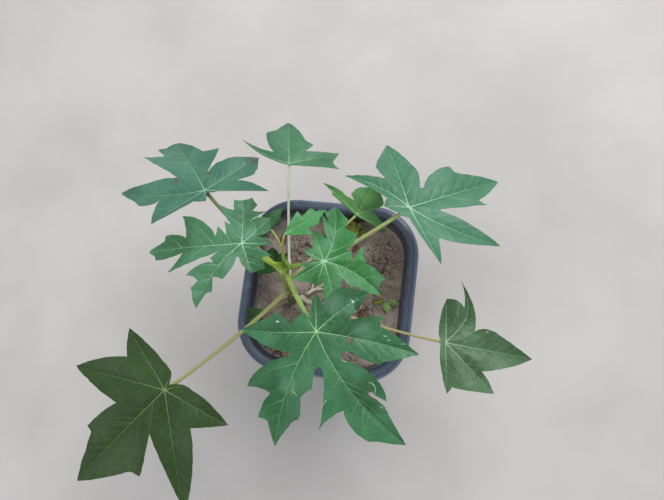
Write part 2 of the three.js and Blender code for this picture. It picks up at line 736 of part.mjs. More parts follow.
// Cluster of folded young leaves on the stem's tip
function apex() {
  const [x, y, z] = stemPoint(1);
  const foot = [x, y, z + GAP];
  let whole = null;
  for (const tip of APEX_TIPS) {
    const heading = tip.heading * Math.PI / 180;
    const lean = tip.lean * Math.PI / 180;
    const points = [];
    const radii = [];
    for (const [share, width] of [[0, 0.7], [0.25, 1], [0.6, 0.75], [1, 0.12]]) {
      const out = Math.sin(lean) * tip.length * share * share;
      points.push([
        foot[0] + Math.cos(heading) * (out + 0.6),
        foot[1] + Math.sin(heading) * (out + 0.6),
        foot[2] + Math.cos(lean) * tip.length * share,
      ]);
      radii.push(tip.width * width);
    }
    const piece = toManifold(bar(points, radii, 8));
    whole = whole ? whole.add(piece) : piece;
  }
  const room = wasm.Manifold.cube([40, 40, 20], true).translate([x, y, foot[2] - 10]);
  return fromManifold(whole.subtract(room));
}

// Piece of litter lying on the soil
function litter(piece) {
  const z = SOIL_LEVEL + GAP + piece.radius;
  const at = (t) => [
    piece.from[0] + (piece.to[0] - piece.from[0]) * t,
    piece.from[1] + (piece.to[1] - piece.from[1]) * t,
    z,
  ];
  return bar([at(0), at(0.5), at(1)], [piece.radius, piece.radius, piece.radius * 0.8], 8);
}

const plant = new THREE.Group();
plant.name = "papaya_plant";
plant.add(finish(pot(), "pot", material(COLOURS.pot, 0.5)));
plant.add(finish(soil(), "soil", material(COLOURS.soil, 0.95)));
plant.add(finish(stem(0), "stem", material(COLOURS.stem, 0.6)));
plant.add(finish(apex(), "apex_bud", material(COLOURS.paleLeaf, 0.6)));

const stemRoom = toManifold(stem(GAP));
const DARK = ["lower_left", "low_front", "low_shade"];
const PALE = ["young", "middle"];
for (const [name, leaf] of Object.entries(LEAVES)) {
  const leafColour = DARK.includes(name) ? COLOURS.darkLeaf : PALE.includes(name) ? COLOURS.paleLeaf : COLOURS.leaf;
  const stalkColour = name === "top" ? COLOURS.paleStalk : COLOURS.stalk;
  plant.add(finish(stalk(leaf, stemRoom), `stalk_${name}`, material(stalkColour, 0.6)));
  plant.add(finish(blade(leaf), `leaf_${name}`, material(leafColour, 0.6)));
}
plant.add(finish(litter(STUB), "litter_stub", material(COLOURS.litter, 0.9)));
plant.add(finish(litter(TWIG), "litter_twig", material(COLOURS.litter, 0.9)));

export default plant;
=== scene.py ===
"""Young papaya plant in a square pot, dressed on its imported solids.

Lengths are in millimetres until they reach a mesh, +Z up, in the frame of the solids:
the origin is the centre of the pot's flat underside.
"""

import math
import random

import bpy
import numpy as np
from mathutils import Matrix, Vector, kdtree, noise
from mathutils.geometry import delaunay_2d_cdt


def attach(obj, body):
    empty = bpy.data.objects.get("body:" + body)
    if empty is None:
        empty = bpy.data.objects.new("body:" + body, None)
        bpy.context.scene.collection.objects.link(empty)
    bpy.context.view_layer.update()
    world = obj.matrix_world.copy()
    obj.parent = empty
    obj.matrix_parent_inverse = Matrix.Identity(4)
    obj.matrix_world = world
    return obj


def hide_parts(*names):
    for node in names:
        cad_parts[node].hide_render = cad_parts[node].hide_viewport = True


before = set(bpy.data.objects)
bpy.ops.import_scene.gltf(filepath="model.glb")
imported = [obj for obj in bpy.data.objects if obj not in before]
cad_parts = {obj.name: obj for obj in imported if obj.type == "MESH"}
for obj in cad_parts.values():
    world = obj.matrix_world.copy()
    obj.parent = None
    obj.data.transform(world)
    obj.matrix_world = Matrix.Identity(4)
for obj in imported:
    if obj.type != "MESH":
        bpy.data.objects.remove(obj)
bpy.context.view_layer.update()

MM = 0.001
SEED = 7

# Camera, fitted to the square rim of the pot
CAMERA_AT = (111.3, -23.3, 742.1)
IMAGE_SIZE = (664, 500)
FOCAL_PX = 500
SENSOR_WIDTH = 36
NADIR_PX = (420, 320)
CAMERA_ROLL = -7.19

# Half the side of the floor, in metres
FLOOR_HALF = 4.0

# Pot
POT_HEIGHT = 170
RIM_HALF = 102.5
RIM_CORNER = 58
LIP_WIDTH = 14
LIP_DEPTH = 15
LIP_CREST = 6
LIP_FALL = 7
WALL_TOP_HALF = 93
WALL_TOP_CORNER = 48
BASE_HALF = 76
BASE_CORNER = 40
WALL = 3.6
FLOOR = 4
LEDGE_DROP = 20
LEDGE_STEP = 1.6
CORNER_STEPS = 22
SIDE_STEPS = 8
# Rounded edges of its profile, as heights and insets: foot of the wall, foot of the lip, ledge, floor
FOOT_ROUND = [[0, 3], [0, 1.5], [0.5, 0.5], [1.5, 0]]
LIP_FOOT_ROUND = [[0, 1.6], [0.5, 0.5], [2, 0], [6, 0]]
LEDGE_ROUND = [[3, 0.4], [0.6, 0.5], [0, 0.8], [-2, 0.5 + LEDGE_STEP]]
FLOOR_ROUND = [[1.5, 1], [0, 4]]

# Soil
SOIL_LEVEL = 145
GAP = 0.3
# Share of the room inside the pot that the soil takes across, and how far over the floor the wall begins
SOIL_SHARE = 0.9965
WALL_FOOT = 6

# Stem
STEM_FOOT = (-43, -18)
STEM_TOP = (-24, 13)
STEM_TOP_HEIGHT = 266
STEM_FOOT_RADIUS = 6.4
STEM_LOW_RADIUS = 4.6
STEM_TOP_RADIUS = 3.1
STEM_BEND = 3
STEM_BASE = SOIL_LEVEL + GAP
SCAR_COUNT = 9
SCAR_LOW = 152
SCAR_STEP = 10.5
SCAR_TURN = 137.5

# Leaves, with the same values as the solids.
# hub: where the stalk arrives; turn: heading (degrees from +X), pitch (tip down) and bank (left half up)
# form: fold (rise away from the veins), sag (droop of the tips) and notch (depth of the cut by the stalk)
# stalk: height on the stem, radius at the stem, radius at the blade, lift and sideways bow
# lobes: [angle, length, right bulge, left bulge, bend, power], counterclockwise from the stalk
# clefts: [angle, distance from the hub, half width]
# teeth: [lobe, side, tip along, tip out, notch along, notch out, bulge], in parts of the lobe's length
LEAVES = {
    "front": {
        "hub": [23, -45, 305], "turn": [-63, 3, 6], "form": [0.1, 0.08, 9],
        "stalk": [253, 2.9, 2.3, 7, -2],
        "lobes": [
            [-166, 21, 0.04, 0.05], [-106, 74, 0.02, 0.02, -0.08], [-57, 110, 0, 0, 0.26],
            [1, 117, -0.02, 0.02, 0.31], [64, 90, 0.02, 0.04, -0.1], [115, 58, 0.05, 0.08, -0.16],
            [161, 34, 0.05, 0.11],
        ],
        "clefts": [[-126, 24], [-71, 32, 2.2], [-17, 33, 3.8], [33, 33, 5.6], [89, 29], [143, 25]],
        "teeth": [
            [1, -1, 0.5, 0.26, 0.56, 0.19, 0.06], [1, 1, 0.75, 0.12, 0.77, 0.1, 0.03],
            [2, -1, 0.72, 0.34, 0.64, 0.12, 0.09], [2, -1, 0.87, 0.18, 0.85, 0.09, 0.05],
            [2, 1, 0.39, 0.2, 0.51, 0.14, 0.04], [2, 1, 0.66, 0.18, 0.72, 0.13, 0.1],
            [3, -1, 0.68, 0.39, 0.61, 0.13, -0.06], [3, -1, 0.88, 0.17, 0.89, 0.14, 0.1],
            [3, 1, 0.65, 0.18, 0.56, 0.12, 0.25], [3, 1, 0.68, 0.14, 0.7, 0.13, 0.02],
            [4, -1, 0.65, 0.19, 0.71, 0.14, 0.05], [4, 1, 0.65, 0.27, 0.62, 0.17, 0.04],
            [5, 1, 0.72, 0.3, 0.77, 0.25, 0.05],
        ],
    },
    "lower_left": {
        "hub": [-146, -130, 235], "turn": [-126, 2, 2], "form": [0.08, 0.1, 6],
        "stalk": [182, 2.7, 2.1, 4, 8],
        "lobes": [
            [-156, 20, 0.1, 0.05], [-100, 82, 0.05, 0.01], [-58, 121, 0.05, 0.02], [-5, 153, 0, 0.02],
            [53, 126, 0, 0.09], [107, 79, 0.01, 0.07], [150, 21, 0.05, 0.08],
        ],
        "clefts": [[-134, 30], [-83, 58], [-32, 58], [25, 46], [84, 49], [134, 34]],
        "teeth": [
            [3, -1, 0.63, 0.21, 0.63, 0.16, 0.04], [3, 1, 0.51, 0.32, 0.56, 0.24, 0.03],
        ],
    },
    "right": {
        "hub": [138, -42, 235], "turn": [5, 5, -12], "form": [0.12, 0.12, 5],
        "stalk": [170, 1.8, 1.3, 13, -9],
        "lobes": [
            [-90, 48, 0.06, 0.02], [-46, 64, 0.04, 0.03], [-8, 85, 0.06, 0], [46, 60, 0.03, 0.09, 0.55, 4],
            [86, 45, 0.17, 0.1],
        ],
        "clefts": [[-83, 42], [-37, 42], [23, 30], [61, 40]],
        "teeth": [[2, 1, 0.47, 0.23, 0.52, 0.22, 0.1]],
    },
    "upper_right": {
        "hub": [90, 83, 262], "turn": [40, 20, -10], "form": [0.1, 0.12, 12],
        "stalk": [219, 2.5, 1.9, 1, -6],
        "lobes": [
            [-99, 64, 0.02, 0.02], [-68, 92, 0.06, 0.07, 0.23], [-11, 107, 0.05, 0], [67, 85, 0.02, 0],
            [96, 71, 0.03, 0.06, 0.3], [139, 24, 0.08, 0.1],
        ],
        "clefts": [[-85, 44, 1.7], [-39, 31, 1.2], [26, 27, 2.2], [89, 38], [121, 23]],
        "teeth": [
            [0, -1, 0.09, 0.2, 0.16, 0.09, 0], [2, 1, 0.56, 0.26, 0.58, 0.19, 0.15],
            [2, -1, 0.7, 0.23, 0.64, 0.16, 0], [3, -1, 0.46, 0.22, 0.5, 0.21, 0.05],
            [3, 1, 0.62, 0.25, 0.68, 0.22, 0.03],
        ],
    },
    "top": {
        "hub": [-36, 118, 262], "turn": [96, 24, 5], "form": [0.12, 0.12, 2],
        "stalk": [162, 1.7, 1.3, 8, 1],
        "lobes": [
            [-68, 54, 0.02, -0.02], [8, 68, 0.03, 0.03], [70, 69, -0.02, 0.03, -0.28],
        ],
        "clefts": [[-42, 23], [49, 22]],
        "teeth": [
            [0, -1, 0.86, 0.46, 0.8, 0.24, 0], [1, -1, 0.34, 0.38, 0.47, 0.25, 0.02],
            [1, 1, 0.69, 0.34, 0.77, 0.17, 0.1],
        ],
    },
    "upper_left": {
        "hub": [-123, 83, 262], "turn": [131, 26, 14], "form": [0.12, 0.12, 5],
        "stalk": [232, 2.5, 1.9, -5, 4],
        "lobes": [
            [-122, 69, 0.01, 0.03], [-75, 70, 0.02, 0.03], [3, 121, 0.02, 0.02], [67, 110, 0.06, 0.03, -0.3],
            [95, 65, 0.02, 0.06], [166, 15, 0.08, 0.08],
        ],
        "clefts": [[-101, 35], [-25, 28, 1.5], [31, 40], [71, 49], [124, 19]],
        "teeth": [
            [0, -1, 0.16, 0.05, 0.25, 0.01, 0.03], [1, -1, 0.7, 0.36, 0.8, 0.3, 0.05],
            [1, 1, 0.54, 0.3, 0.57, 0.29, 0.12], [2, -1, 0.43, 0.3, 0.51, 0.16, 0.03],
            [2, 1, 0.91, 0.35, 0.76, 0.17, 0.01], [2, 1, 0.96, 0.2, 0.93, 0.11, 0.02],
            [3, 1, 0.67, 0.19, 0.82, 0.1, 0.12],
        ],
    },
    "left": {
        "hub": [-60, 27, 298], "turn": [159, 11.8, 12.4], "form": [0.12, 0.1, 10],
        "stalk": [257, 2.7, 2.1, 12, 4],
        "lobes": [
            [-152, 30, 0.03, 0.06], [-104, 37, 0.03, 0.03], [-54, 50, 0.02, 0.03], [28, 107, 0.03, 0.05],
            [63, 67, 0.05, 0.08, 0.43], [143, 32, 0.12, 0.1],
        ],
        "clefts": [[-124, 15], [-58, 19], [1, 19], [47, 21], [114, 15, 1.6]],
        "teeth": [
            [1, -1, 0.77, 0.37, 0.89, 0.14, 0.06], [1, 1, 0.77, 0.25, 0.82, 0.18, 0.02],
            [2, -1, 0.61, 0.48, 0.67, 0.21, -0.03], [2, -1, 0.79, 0.32, 0.87, 0.26, 0.06],
            [2, -1, 0.97, 0.21, 0.96, 0.11, 0.02], [2, 1, 0.53, 0.36, 0.45, 0.23, -0.03],
            [2, 1, 0.96, 0.5, 0.77, 0.17, 0.02], [2, 1, 1.02, 0.19, 0.98, 0.09, 0.03],
            [3, -1, 0.26, 0.17, 0.27, 0.08, 0.03], [3, -1, 0.65, 0.3, 0.57, 0.08, 0.12],
            [3, -1, 0.81, 0.13, 0.82, 0.07, 0.08], [3, 1, 0.68, 0.26, 0.57, 0.06, 0.01],
            [3, 1, 0.87, 0.11, 0.91, 0.05, 0.06], [4, -1, 0.49, 0.17, 0.48, 0.09, 0],
            [4, -1, 0.9, 0.39, 0.79, 0.14, 0.05], [4, -1, 0.92, 0.2, 0.93, 0.16, 0.05],
            [4, 1, 0.47, 0.25, 0.59, 0.05, 0.16], [4, 1, 0.68, 0.22, 0.8, 0.09, 0.1],
            [5, 1, 0.83, 0.73, 0.77, 0.43, 0.08], [5, 1, 1.12, 0.41, 1.05, 0.17, 0.1],
        ],
    },
    "middle": {
        "hub": [19, 19, 290], "turn": [10, 6, 4], "form": [0.16, 0.12, 4],
        "stalk": [259, 2.1, 1.6, 5, 1],
        "lobes": [
            [-178, 23, 0.08, 0.06], [-154, 33, 0.06, 0.05], [-111, 23, 0.06, 0.06], [-78, 41, 0.04, 0.04],
            [-12, 60, 0.06, 0.03, -0.41], [18, 27, 0.01, 0.06], [53, 49, 0.05, 0.04, 0.42],
            [105, 32, 0.05, 0.05], [147, 22, 0.06, 0.08],
        ],
        "clefts": [
            [-163, 17, 0], [-131, 23, 0], [-93, 15, 0], [-48, 24, 1.6], [-9, 27, 0], [29, 21, 0],
            [80, 21, 0], [130, 14, 0],
        ],
        "teeth": [
            [3, -1, 0.92, 0.24, 0.79, 0.05, 0.03], [4, -1, 0.49, 0.24, 0.54, 0.18, 0.05],
            [4, 1, 0.56, 0.44, 0.65, 0.24, 0.08], [4, 1, 0.98, 0.27, 0.89, 0.05, 0.06],
            [6, -1, 0.79, 0.49, 0.76, 0.22, 0.08], [6, -1, 0.93, 0.28, 0.96, 0.15, 0.05],
            [6, 1, 0.74, 0.34, 0.67, 0.12, 0.04], [6, 1, 0.82, 0.28, 0.86, 0.15, 0.05],
            [8, -1, 0.82, 0.22, 0.86, 0.13, 0.03],
        ],
    },
    "low_back": {
        "hub": [36, 77, 235], "turn": [76, 25, 10], "form": [0.12, 0.12, 2],
        "stalk": [204, 1.8, 1.3, 6, 0],
        "lobes": [
            [-94, 35, 0.03, 0.06], [-39, 34, 0.05, 0.08], [-2, 42, 0.06, 0.03], [63, 53, 0.04, 0.02],
        ],
        "clefts": [[-43, 16], [-24, 38], [30, 16]],
        "teeth": [
            [2, 1, 0.48, 0.37, 0.64, 0.34, 0.04], [2, 1, 0.81, 0.24, 0.86, 0.17, 0.01],
            [3, 1, 0.66, 0.09, 0.71, 0.02, 0.02], [3, -1, 0.48, 0.1, 0.55, 0.11, -0.02],
        ],
    },
    "young": {
        "hub": [-17, 38, 308], "turn": [55, 8, -6], "form": [0.2, 0.1, 1],
        "stalk": [260, 1.5, 1.1, -4, 7],
        "lobes": [
            [-14, 43.6, 0.06, 0.05],
        ],
        "clefts": [],
        "teeth": [
            [0, -1, 0.49, 0.38, 0.49, 0.19, 0], [0, -1, 0.74, 0.23, 0.84, 0.12, 0.03],
            [0, 1, 0.5, 0.26, 0.52, 0.11, 0.02], [0, 1, 0.78, 0.16, 0.82, 0.06, 0.08],
        ],
    },
    "small_back": {
        "hub": [-42, 47, 276], "turn": [66.5, 0, 0], "form": [0.2, 0.1, 1],
        "stalk": [257, 1.2, 0.9, 8, -10],
        "lobes": [
            [0, 24.3, 0.02, 0.02], [61, 15.7, 0.03, 0.05],
        ],
        "clefts": [[29.4, 15.4]],
        "teeth": [
            [0, -1, 0.55, 0.21, 0.63, 0.13, 0.02], [1, 1, 0.9, 0.29, 0.96, 0.14, 0.1],
        ],
    },
    "low_front": {
        "hub": [-70, -36, 181], "turn": [-140, 6, 0], "form": [0.12, 0.15, 3],
        "stalk": [156, 1.3, 0.9, 4, 0],
        "lobes": [
            [-42, 21, 0.08, 0.08], [-1, 23, 0.08, 0.08], [63, 15, 0.08, 0.08],
        ],
        "clefts": [[-20, 13], [22, 12]],
        "teeth": [],
    },
    "low_shade": {
        "hub": [-60, 14, 185], "turn": [150, 5, 0], "form": [0.12, 0.15, 3],
        "stalk": [174, 1.4, 1, 2, 0],
        "lobes": [
            [-95, 24, 0.1, 0.1], [-45, 27, 0.1, 0.1], [0, 27, 0.1, 0.1], [50, 22, 0.1, 0.1],
        ],
        "clefts": [[-68, 18], [-20, 22], [25, 19]],
        "teeth": [],
    },
}
VEIN_BEND = 0.015
# How far the control points of an edge stand out for a bulge of 1
PUFF = 1.35
BLADE_THICK = 0.5
HOLE_RIM = 0.9
# Share of the lobe that a tooth reaches out before it has a vein, and the room that side veins keep
SMALL_TOOTH = 0.09
VEIN_ROOM = 2.0
START_ROOM = 2.4
EDGE_ROOM = 1.1
SHEET_STEP = 1.6
EDGE_STEP = 1.5

# Holes eaten through blades: [x, y, half length, half width, turn] in the blade's plane
HOLES = {
    "front": [
        [16.4, 25.6, 2.1, 1.6, 20], [66.5, 28.6, 4.6, 2.0, 38], [31, 15.5, 0.8, 0.6, 40],
    ],
    "middle": [[30, 9, 0.9, 0.6, 30], [41, 3, 0.8, 0.6, 0]],
    "right": [[40, 12, 0.7, 0.5, 0]],
}

# Withered spots: [x, y, radius]
WITHER = {
    "front": [[116.4, 38.3, 3]],
    "upper_left": [[15, -63, 7], [22.8, -10.6, 4], [31.5, 22.6, 4]],
    "lower_left": [[-22.6, 75.5, 7]],
    "right": [[84, -12, 6], [-3, -48, 4], [45, -46, 4]],
    "left": [[-33, 17, 2.2], [94.8, 47.9, 4]],
    "middle": [[53, -36.5, 8]],
    "upper_right": [[54, -77, 4]],
}

# Patches of painted shade along folds and creases, with a dark ring round one hole (depth above zero), and
# of painted sheen (depth below zero): [x, y, radius, depth]
PAINTED_SHADE_AND_SHEEN = {
    "front": [
        [-8.4, 44, 5, 0.9], [60, 17, 9, 0.5], [74, 25, 8, 0.5], [-17, -34, 11, 0.6], [47, 14, 7, 0.4],
        [23.5, -49, 8, 0.5], [16.4, 25.6, 4.5, 0.9], [-16, 24.5, 11, -0.4], [-10, 37, 10, -0.35],
        [14, 40, 11, -0.35], [36, -42, 10, -0.4],
    ],
    "right": [
        [3, 26, 13, 0.9], [8, 40, 11, 0.9], [-4, 18, 8, 0.7], [20, -15, 5, 0.9], [26, -20, 6, 1],
        [32, -27, 6, 1],
    ],
    "middle": [
        [-16, -4, 12, 0.7], [-9, -15, 9, 0.6], [12, 43, 12, 0.6], [5, 15, 9, -0.4], [11, 25, 9, -0.35],
    ],
    "left": [
        [14, -40, 9, 0.5], [-31.5, 8.5, 9, 0.3], [21, -24, 12, 0.6], [-2, 20, 12, -0.4], [-2, -11, 9, -0.35],
    ],
    "upper_right": [[2, 55, 16, 0.4]],
}

# Colours of each leaf: blade, lighter blade, vein, stalk by the stem, stalk by the leaf
LOOKS = {
    "front": ((32, 86, 42), (62, 124, 80), (160, 200, 138), (166, 192, 98), (132, 170, 92)),
    "lower_left": ((40, 64, 26), (56, 82, 40), (126, 150, 88), (182, 180, 116), (166, 168, 108)),
    "right": ((50, 84, 42), (92, 126, 90), (156, 186, 140), (210, 196, 168), (178, 170, 108)),
    "upper_right": ((60, 116, 84), (80, 136, 102), (178, 212, 172), (156, 166, 104), (184, 192, 126)),
    "top": ((50, 104, 66), (76, 130, 92), (166, 200, 156), (255, 255, 246), (228, 234, 204)),
    "upper_left": ((48, 102, 80), (78, 130, 106), (150, 192, 156), (176, 190, 108), (118, 116, 56)),
    "left": ((40, 96, 50), (80, 134, 94), (172, 212, 176), (182, 202, 72), (158, 192, 70)),
    "middle": ((44, 122, 48), (100, 158, 112), (184, 220, 180), (148, 186, 62), (146, 186, 80)),
    "low_back": ((78, 132, 66), (102, 158, 92), (176, 208, 140), (214, 210, 166), (188, 196, 130)),
    "young": ((58, 128, 66), (84, 154, 92), (150, 200, 124), (150, 184, 56), (184, 196, 104)),
    "small_back": ((40, 88, 44), (64, 118, 66), (120, 160, 110), (160, 186, 66), (190, 186, 104)),
    # The two low leaves under the crown: their own deep green, darkened further with painted shade
    "low_front": ((28, 60, 12), (44, 80, 24), (86, 112, 50), (120, 128, 70), (110, 118, 62)),
    "low_shade": ((20, 56, 8), (34, 78, 18), (66, 100, 40), (118, 126, 68), (108, 116, 60)),
}

# Material slots of the leaves that aren't plain leaf
LEAF_SLOTS = dict.fromkeys(["lower_left", "low_front", "low_shade"], "dark_leaf")
LEAF_SLOTS |= dict.fromkeys(["young", "middle"], "young_leaf")

# Darker and lighter colour of each dry or small thing
DRY_LOOKS = {
    "pale_dry": ((188, 180, 150), (234, 230, 210)),
    "straw_dry": ((146, 124, 98), (208, 192, 160)),
    "brown_dry": ((74, 46, 34), (128, 88, 66)),
    "wilted": ((70, 80, 24), (150, 158, 66)),
    "leaflets": ((110, 146, 56), (150, 186, 110)),
    "sprig": ((44, 82, 30), (70, 112, 50)),
    "pale_green": ((140, 182, 132), (186, 216, 176)),
    "chalk": ((196, 204, 192), (230, 236, 226)),
}

# Fineness of the meshes
VEIN_SIDES = 8
STALK_SIDES = 16
STEM_LEVELS = 150
STEM_SIDES = 36
STRAND_SIDES = 7
SOIL_STEP = 1.5
CRUMB_COUNT = 2600
CRUMB_REACH = 86

# Relief of a blade with a reach of 90 mm or more: heights, and the widths over which they change
FULL_REACH = 90
QUILT = 0.5
QUILT_WIDTH = 2.6
WAVE = 1.7
WAVE_LENGTH = 26
RIPPLE_LENGTH = 9
VALLEY = 3.6
VALLEY_WIDTH = 8
HUB_WIDTH = 14

# Folded leaves at the growing tip: [heading, lean, length, width]
APEX_LEAVES = [
    [40, 14, 15, 1.6], [165, 34, 12, 1.4], [285, 40, 11, 1.5], [100, 22, 10, 1.2], [225, 26, 13, 1.2],
    [340, 48, 8, 1.3],
]

# Litter on the soil. Rows of the stub and the twig: [from, to, share of the radius, lift]
STUB_RADIUS = 2.6
TWIG_RADIUS = 1.7
STRAW_COUNT = 26
STRAW_SPREAD = 70
STRAW_REACH = 74
FLAKE_COUNT = 34
FLAKE_SPREAD = 72
FLAKE_THICK = 0.4
STUB_ROWS = [[(-33, -13), (-21.4, -19.4), 1.0, 1.0]]
TWIG_ROWS = [
    [(-25.5, -8.5), (-15, -1.5), 1.1, 1.2], [(-16.5, -2.5), (-6, 5.5), 1.0, 1.4],
    [(-20.5, -5.5), (-19.5, 5.2), 0.8, 1.3], [(-14, -1.5), (-1.3, 0), 0.8, 1.2],
]
# Dry flakes: [x, y, length, width, heading, curl]
BROWN_FLAKES = [
    [33.5, -15, 13, 4, 40, 0.5], [43, -24, 9, 3, 100, 0.6], [22, 84, 12, 4, 20, 0.5],
    [-64, 56, 14, 4, 80, 0.4], [8, 64, 11, 4, 130, 0.5], [26, 52, 10, 3, 60, 0.7], [36, -16, 8, 3, 150, 0.4],
    [57, 2, 9, 3, 20, 0.6], [30, -86, 9, 3, 70, 0.5], [-48, 66, 12, 4, 10, 0.4], [-52, -84, 12, 4, 160, 0.6],
]
# Small leaves by the piece they make: [x, y, z, length, width, heading, curl]. The sprig hangs on a thread
# at the growing tip, and the leaflets stand near the right wall.
SMALL_LEAVES = {
    "wilted": [
        [24, 76, 152, 20, 7, 160, 0.9], [14, 80, 150, 12, 5, 60, 0.8], [36, 70, 151, 15, 4, 20, 0.9],
        [61, -8.5, 149, 13, 4, 5, 0.8],
    ],
    "leaflets": [[71.8, -13, 150, 11, 4.2, 100, 0.4], [79, -7, 151, 11, 3.4, 355, 0.5]],
    "sprig": [[-51, 39.2, 273, 12, 2.2, 1, 0.4]],
}
# Thin threads: [from, to, radius], with heights
THREADS = [
    [(64, -3, 150), (84.5, -6.5, 154), 0.45], [(-47, 37.8, 272.5), (-30.5, 33, 271), 0.6],
]
# White flecks on the front blade: [x, y, half length, half width, turn]
FLECKS = [
    [-20.5, -30.4, 1.5, 0.9, 60], [-13.9, 40, 1.7, 0.8, 15], [-12.6, 35.3, 0.45, 0.35, 0],
    [-6.9, 45.4, 0.5, 0.35, 0], [-5.1, 40.1, 0.4, 0.3, 0],
]
# Pale dry edges and scratches on the front blade: points along each
SCRATCHES = [
    [(55, 29), (56, 31.8), (59, 33.4), (62.6, 32.8), (65.5, 31.2)],
    [(39.5, -40.2), (42.5, -39.2), (46.4, -36.4)], [(57.5, -11), (60, -14.5), (62, -17.5)],
    [(29, 13.5), (31.5, 15), (33, 18)], [(22.4, 54.8), (24.2, 57.6)], [(27, 56.6), (28.2, 59.8)],
    [(34, 65.8), (35.4, 70.2)], [(76.8, 30.4), (79.6, 32.6)],
]
SCRATCH_RADIUS = 0.38
# Crumbly dark patches of the soil: [x, y, radius]
CRUMBLY = [
    [-42, 50, 17], [56, 42, 20], [-12, 60, 14], [-34, -24, 15], [44, -24, 18], [28, -78, 20], [-50, -70, 14],
]

rng = random.Random(SEED)


def linear(colour):
    """Scene colour of a screen colour given in 0 to 255, as all colours of the materials are."""
    parts = [c / 255 for c in colour]
    return tuple(c / 12.92 if c <= 0.04045 else ((c + 0.055) / 1.055) ** 2.4 for c in parts) + (1.0,)


# Meshes

def add_object(name, data):
    made = bpy.data.objects.new(name, data)
    bpy.context.scene.collection.objects.link(made)
    return made


def add_mesh(name, skin, material, nodes=(), crease=60, fields=None):
    """Makes one piece from a skin: points in millimetres, and faces. It rides on the plant."""
    points, faces = skin
    mesh = bpy.data.meshes.new(name)
    mesh.from_pydata([tuple(p) for p in np.asarray(points, float) * MM], [], faces)
    mesh.validate()
    mesh.polygons.foreach_set("use_smooth", [True] * len(mesh.polygons))
    mesh.set_sharp_from_angle(angle=math.radians(crease))
    for field, values in (fields or {}).items():
        layer = mesh.attributes.new(field, "FLOAT", "POINT")
        layer.data.foreach_set("value", np.asarray(values, np.float32))
    mesh.materials.append(material)
    piece = add_object(name, mesh)
    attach(piece, "root")
    if nodes:
        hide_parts(*nodes)


class Heap:
    """Points and faces of several closed shapes that become one piece."""

    def __init__(self):
        self.points = []
        self.faces = []
        self.fields = {}

    def add(self, skin, **fields):
        """Adds a shape. A field is one value for the whole shape, or one for each of its points."""
        points, faces = skin
        start = len(self.points)
        self.points.extend([tuple(p) for p in points])
        self.faces.extend([tuple(start + k for k in face) for face in faces])
        for field, values in fields.items():
            self.fields.setdefault(field, []).extend(np.broadcast_to(values, len(points)))

    def piece(self, name, material, slot, nodes=(), crease=60):
        add_mesh(name, (self.points, self.faces), material, nodes, crease, self.fields)


def loft(rings):
    """Closed skin through rings with the same number of points."""
    count = len(rings[0])
    points = [p for ring in rings for p in ring]
    faces = []
    for level in range(len(rings) - 1):
        base = level * count
        for k in range(count):
            after = (k + 1) % count
            faces.append((base + k, base + after, base + count + after, base + count + k))
    low = len(points)
    points.append(np.mean(rings[0], axis=0))
    points.append(np.mean(rings[-1], axis=0))
    top = (len(rings) - 1) * count
    for k in range(count):
        after = (k + 1) % count
        faces.append((low, after, k))
        faces.append((low + 1, top + k, top + after))
    return points, faces


def unit(v):
    return v / max(np.linalg.norm(v), 1e-9)


def level_axes(heading):
    """Level directions ahead and to the left, at a heading in radians."""
    c, s = math.cos(heading), math.sin(heading)
    return np.array([c, s, 0.0]), np.array([-s, c, 0.0])


def between(a, b, t):
    """Points from a to b at the shares t."""
    return np.array(a) + np.subtract(b, a) * t[:, None]


def turns(count):
    """Angles that go once round in even steps."""
    return [2 * math.pi * k / count for k in range(count)]


def tube(line, radii, sides, ripple=None):
    """Closed round bar along a line, with a radius at each point."""
    line = np.asarray(line, float)
    rings = []
    across = np.array([0.0, 0.0, 1.0])
    for k, p in enumerate(line):
        along = unit(line[min(k + 1, len(line) - 1)] - line[max(k - 1, 0)])
        if k == 0 and abs(along[2]) > 0.9:
            across = np.array([1.0, 0.0, 0.0])
        across = unit(across - across.dot(along) * along)
        other = np.cross(along, across)
        ring = []
        for angle in turns(sides):
            swell = 1.0 if ripple is None else ripple(k, angle)
            out = math.cos(angle) * across + math.sin(angle) * other
            ring.append(p + out * radii[k] * swell)
        rings.append(ring)
    return loft(rings)


def boss(centre, axes, radius, height, margin, levels, sides, lobing, phase):
    """Rounded knob with three faint lobes, cut off by the margin at both ends."""
    along, left, up = axes
    rings = []
    for level in range(levels):
        angle = math.pi * (margin + (1 - 2 * margin) * level / (levels - 1))
        ring = []
        for turn in turns(sides):
            wide = radius * math.sin(angle) * (1 + lobing * math.cos(3 * turn + phase))
            out = along * math.cos(turn) + left * math.sin(turn)
            ring.append(centre + out * wide - up * height * math.cos(angle))
        rings.append(ring)
    return loft(rings)


def rough(p, size):
    """Smooth noise, -1 to 1, with features of about that size in millimetres."""
    return noise.noise(Vector((p[0] / size, p[1] / size, p[2] / size)))


def rough_at(points, size, seed):
    """The same noise at each of the flat points, with the seed as the third coordinate."""
    return np.array([rough((p[0], p[1], seed), size) for p in points])


# Materials

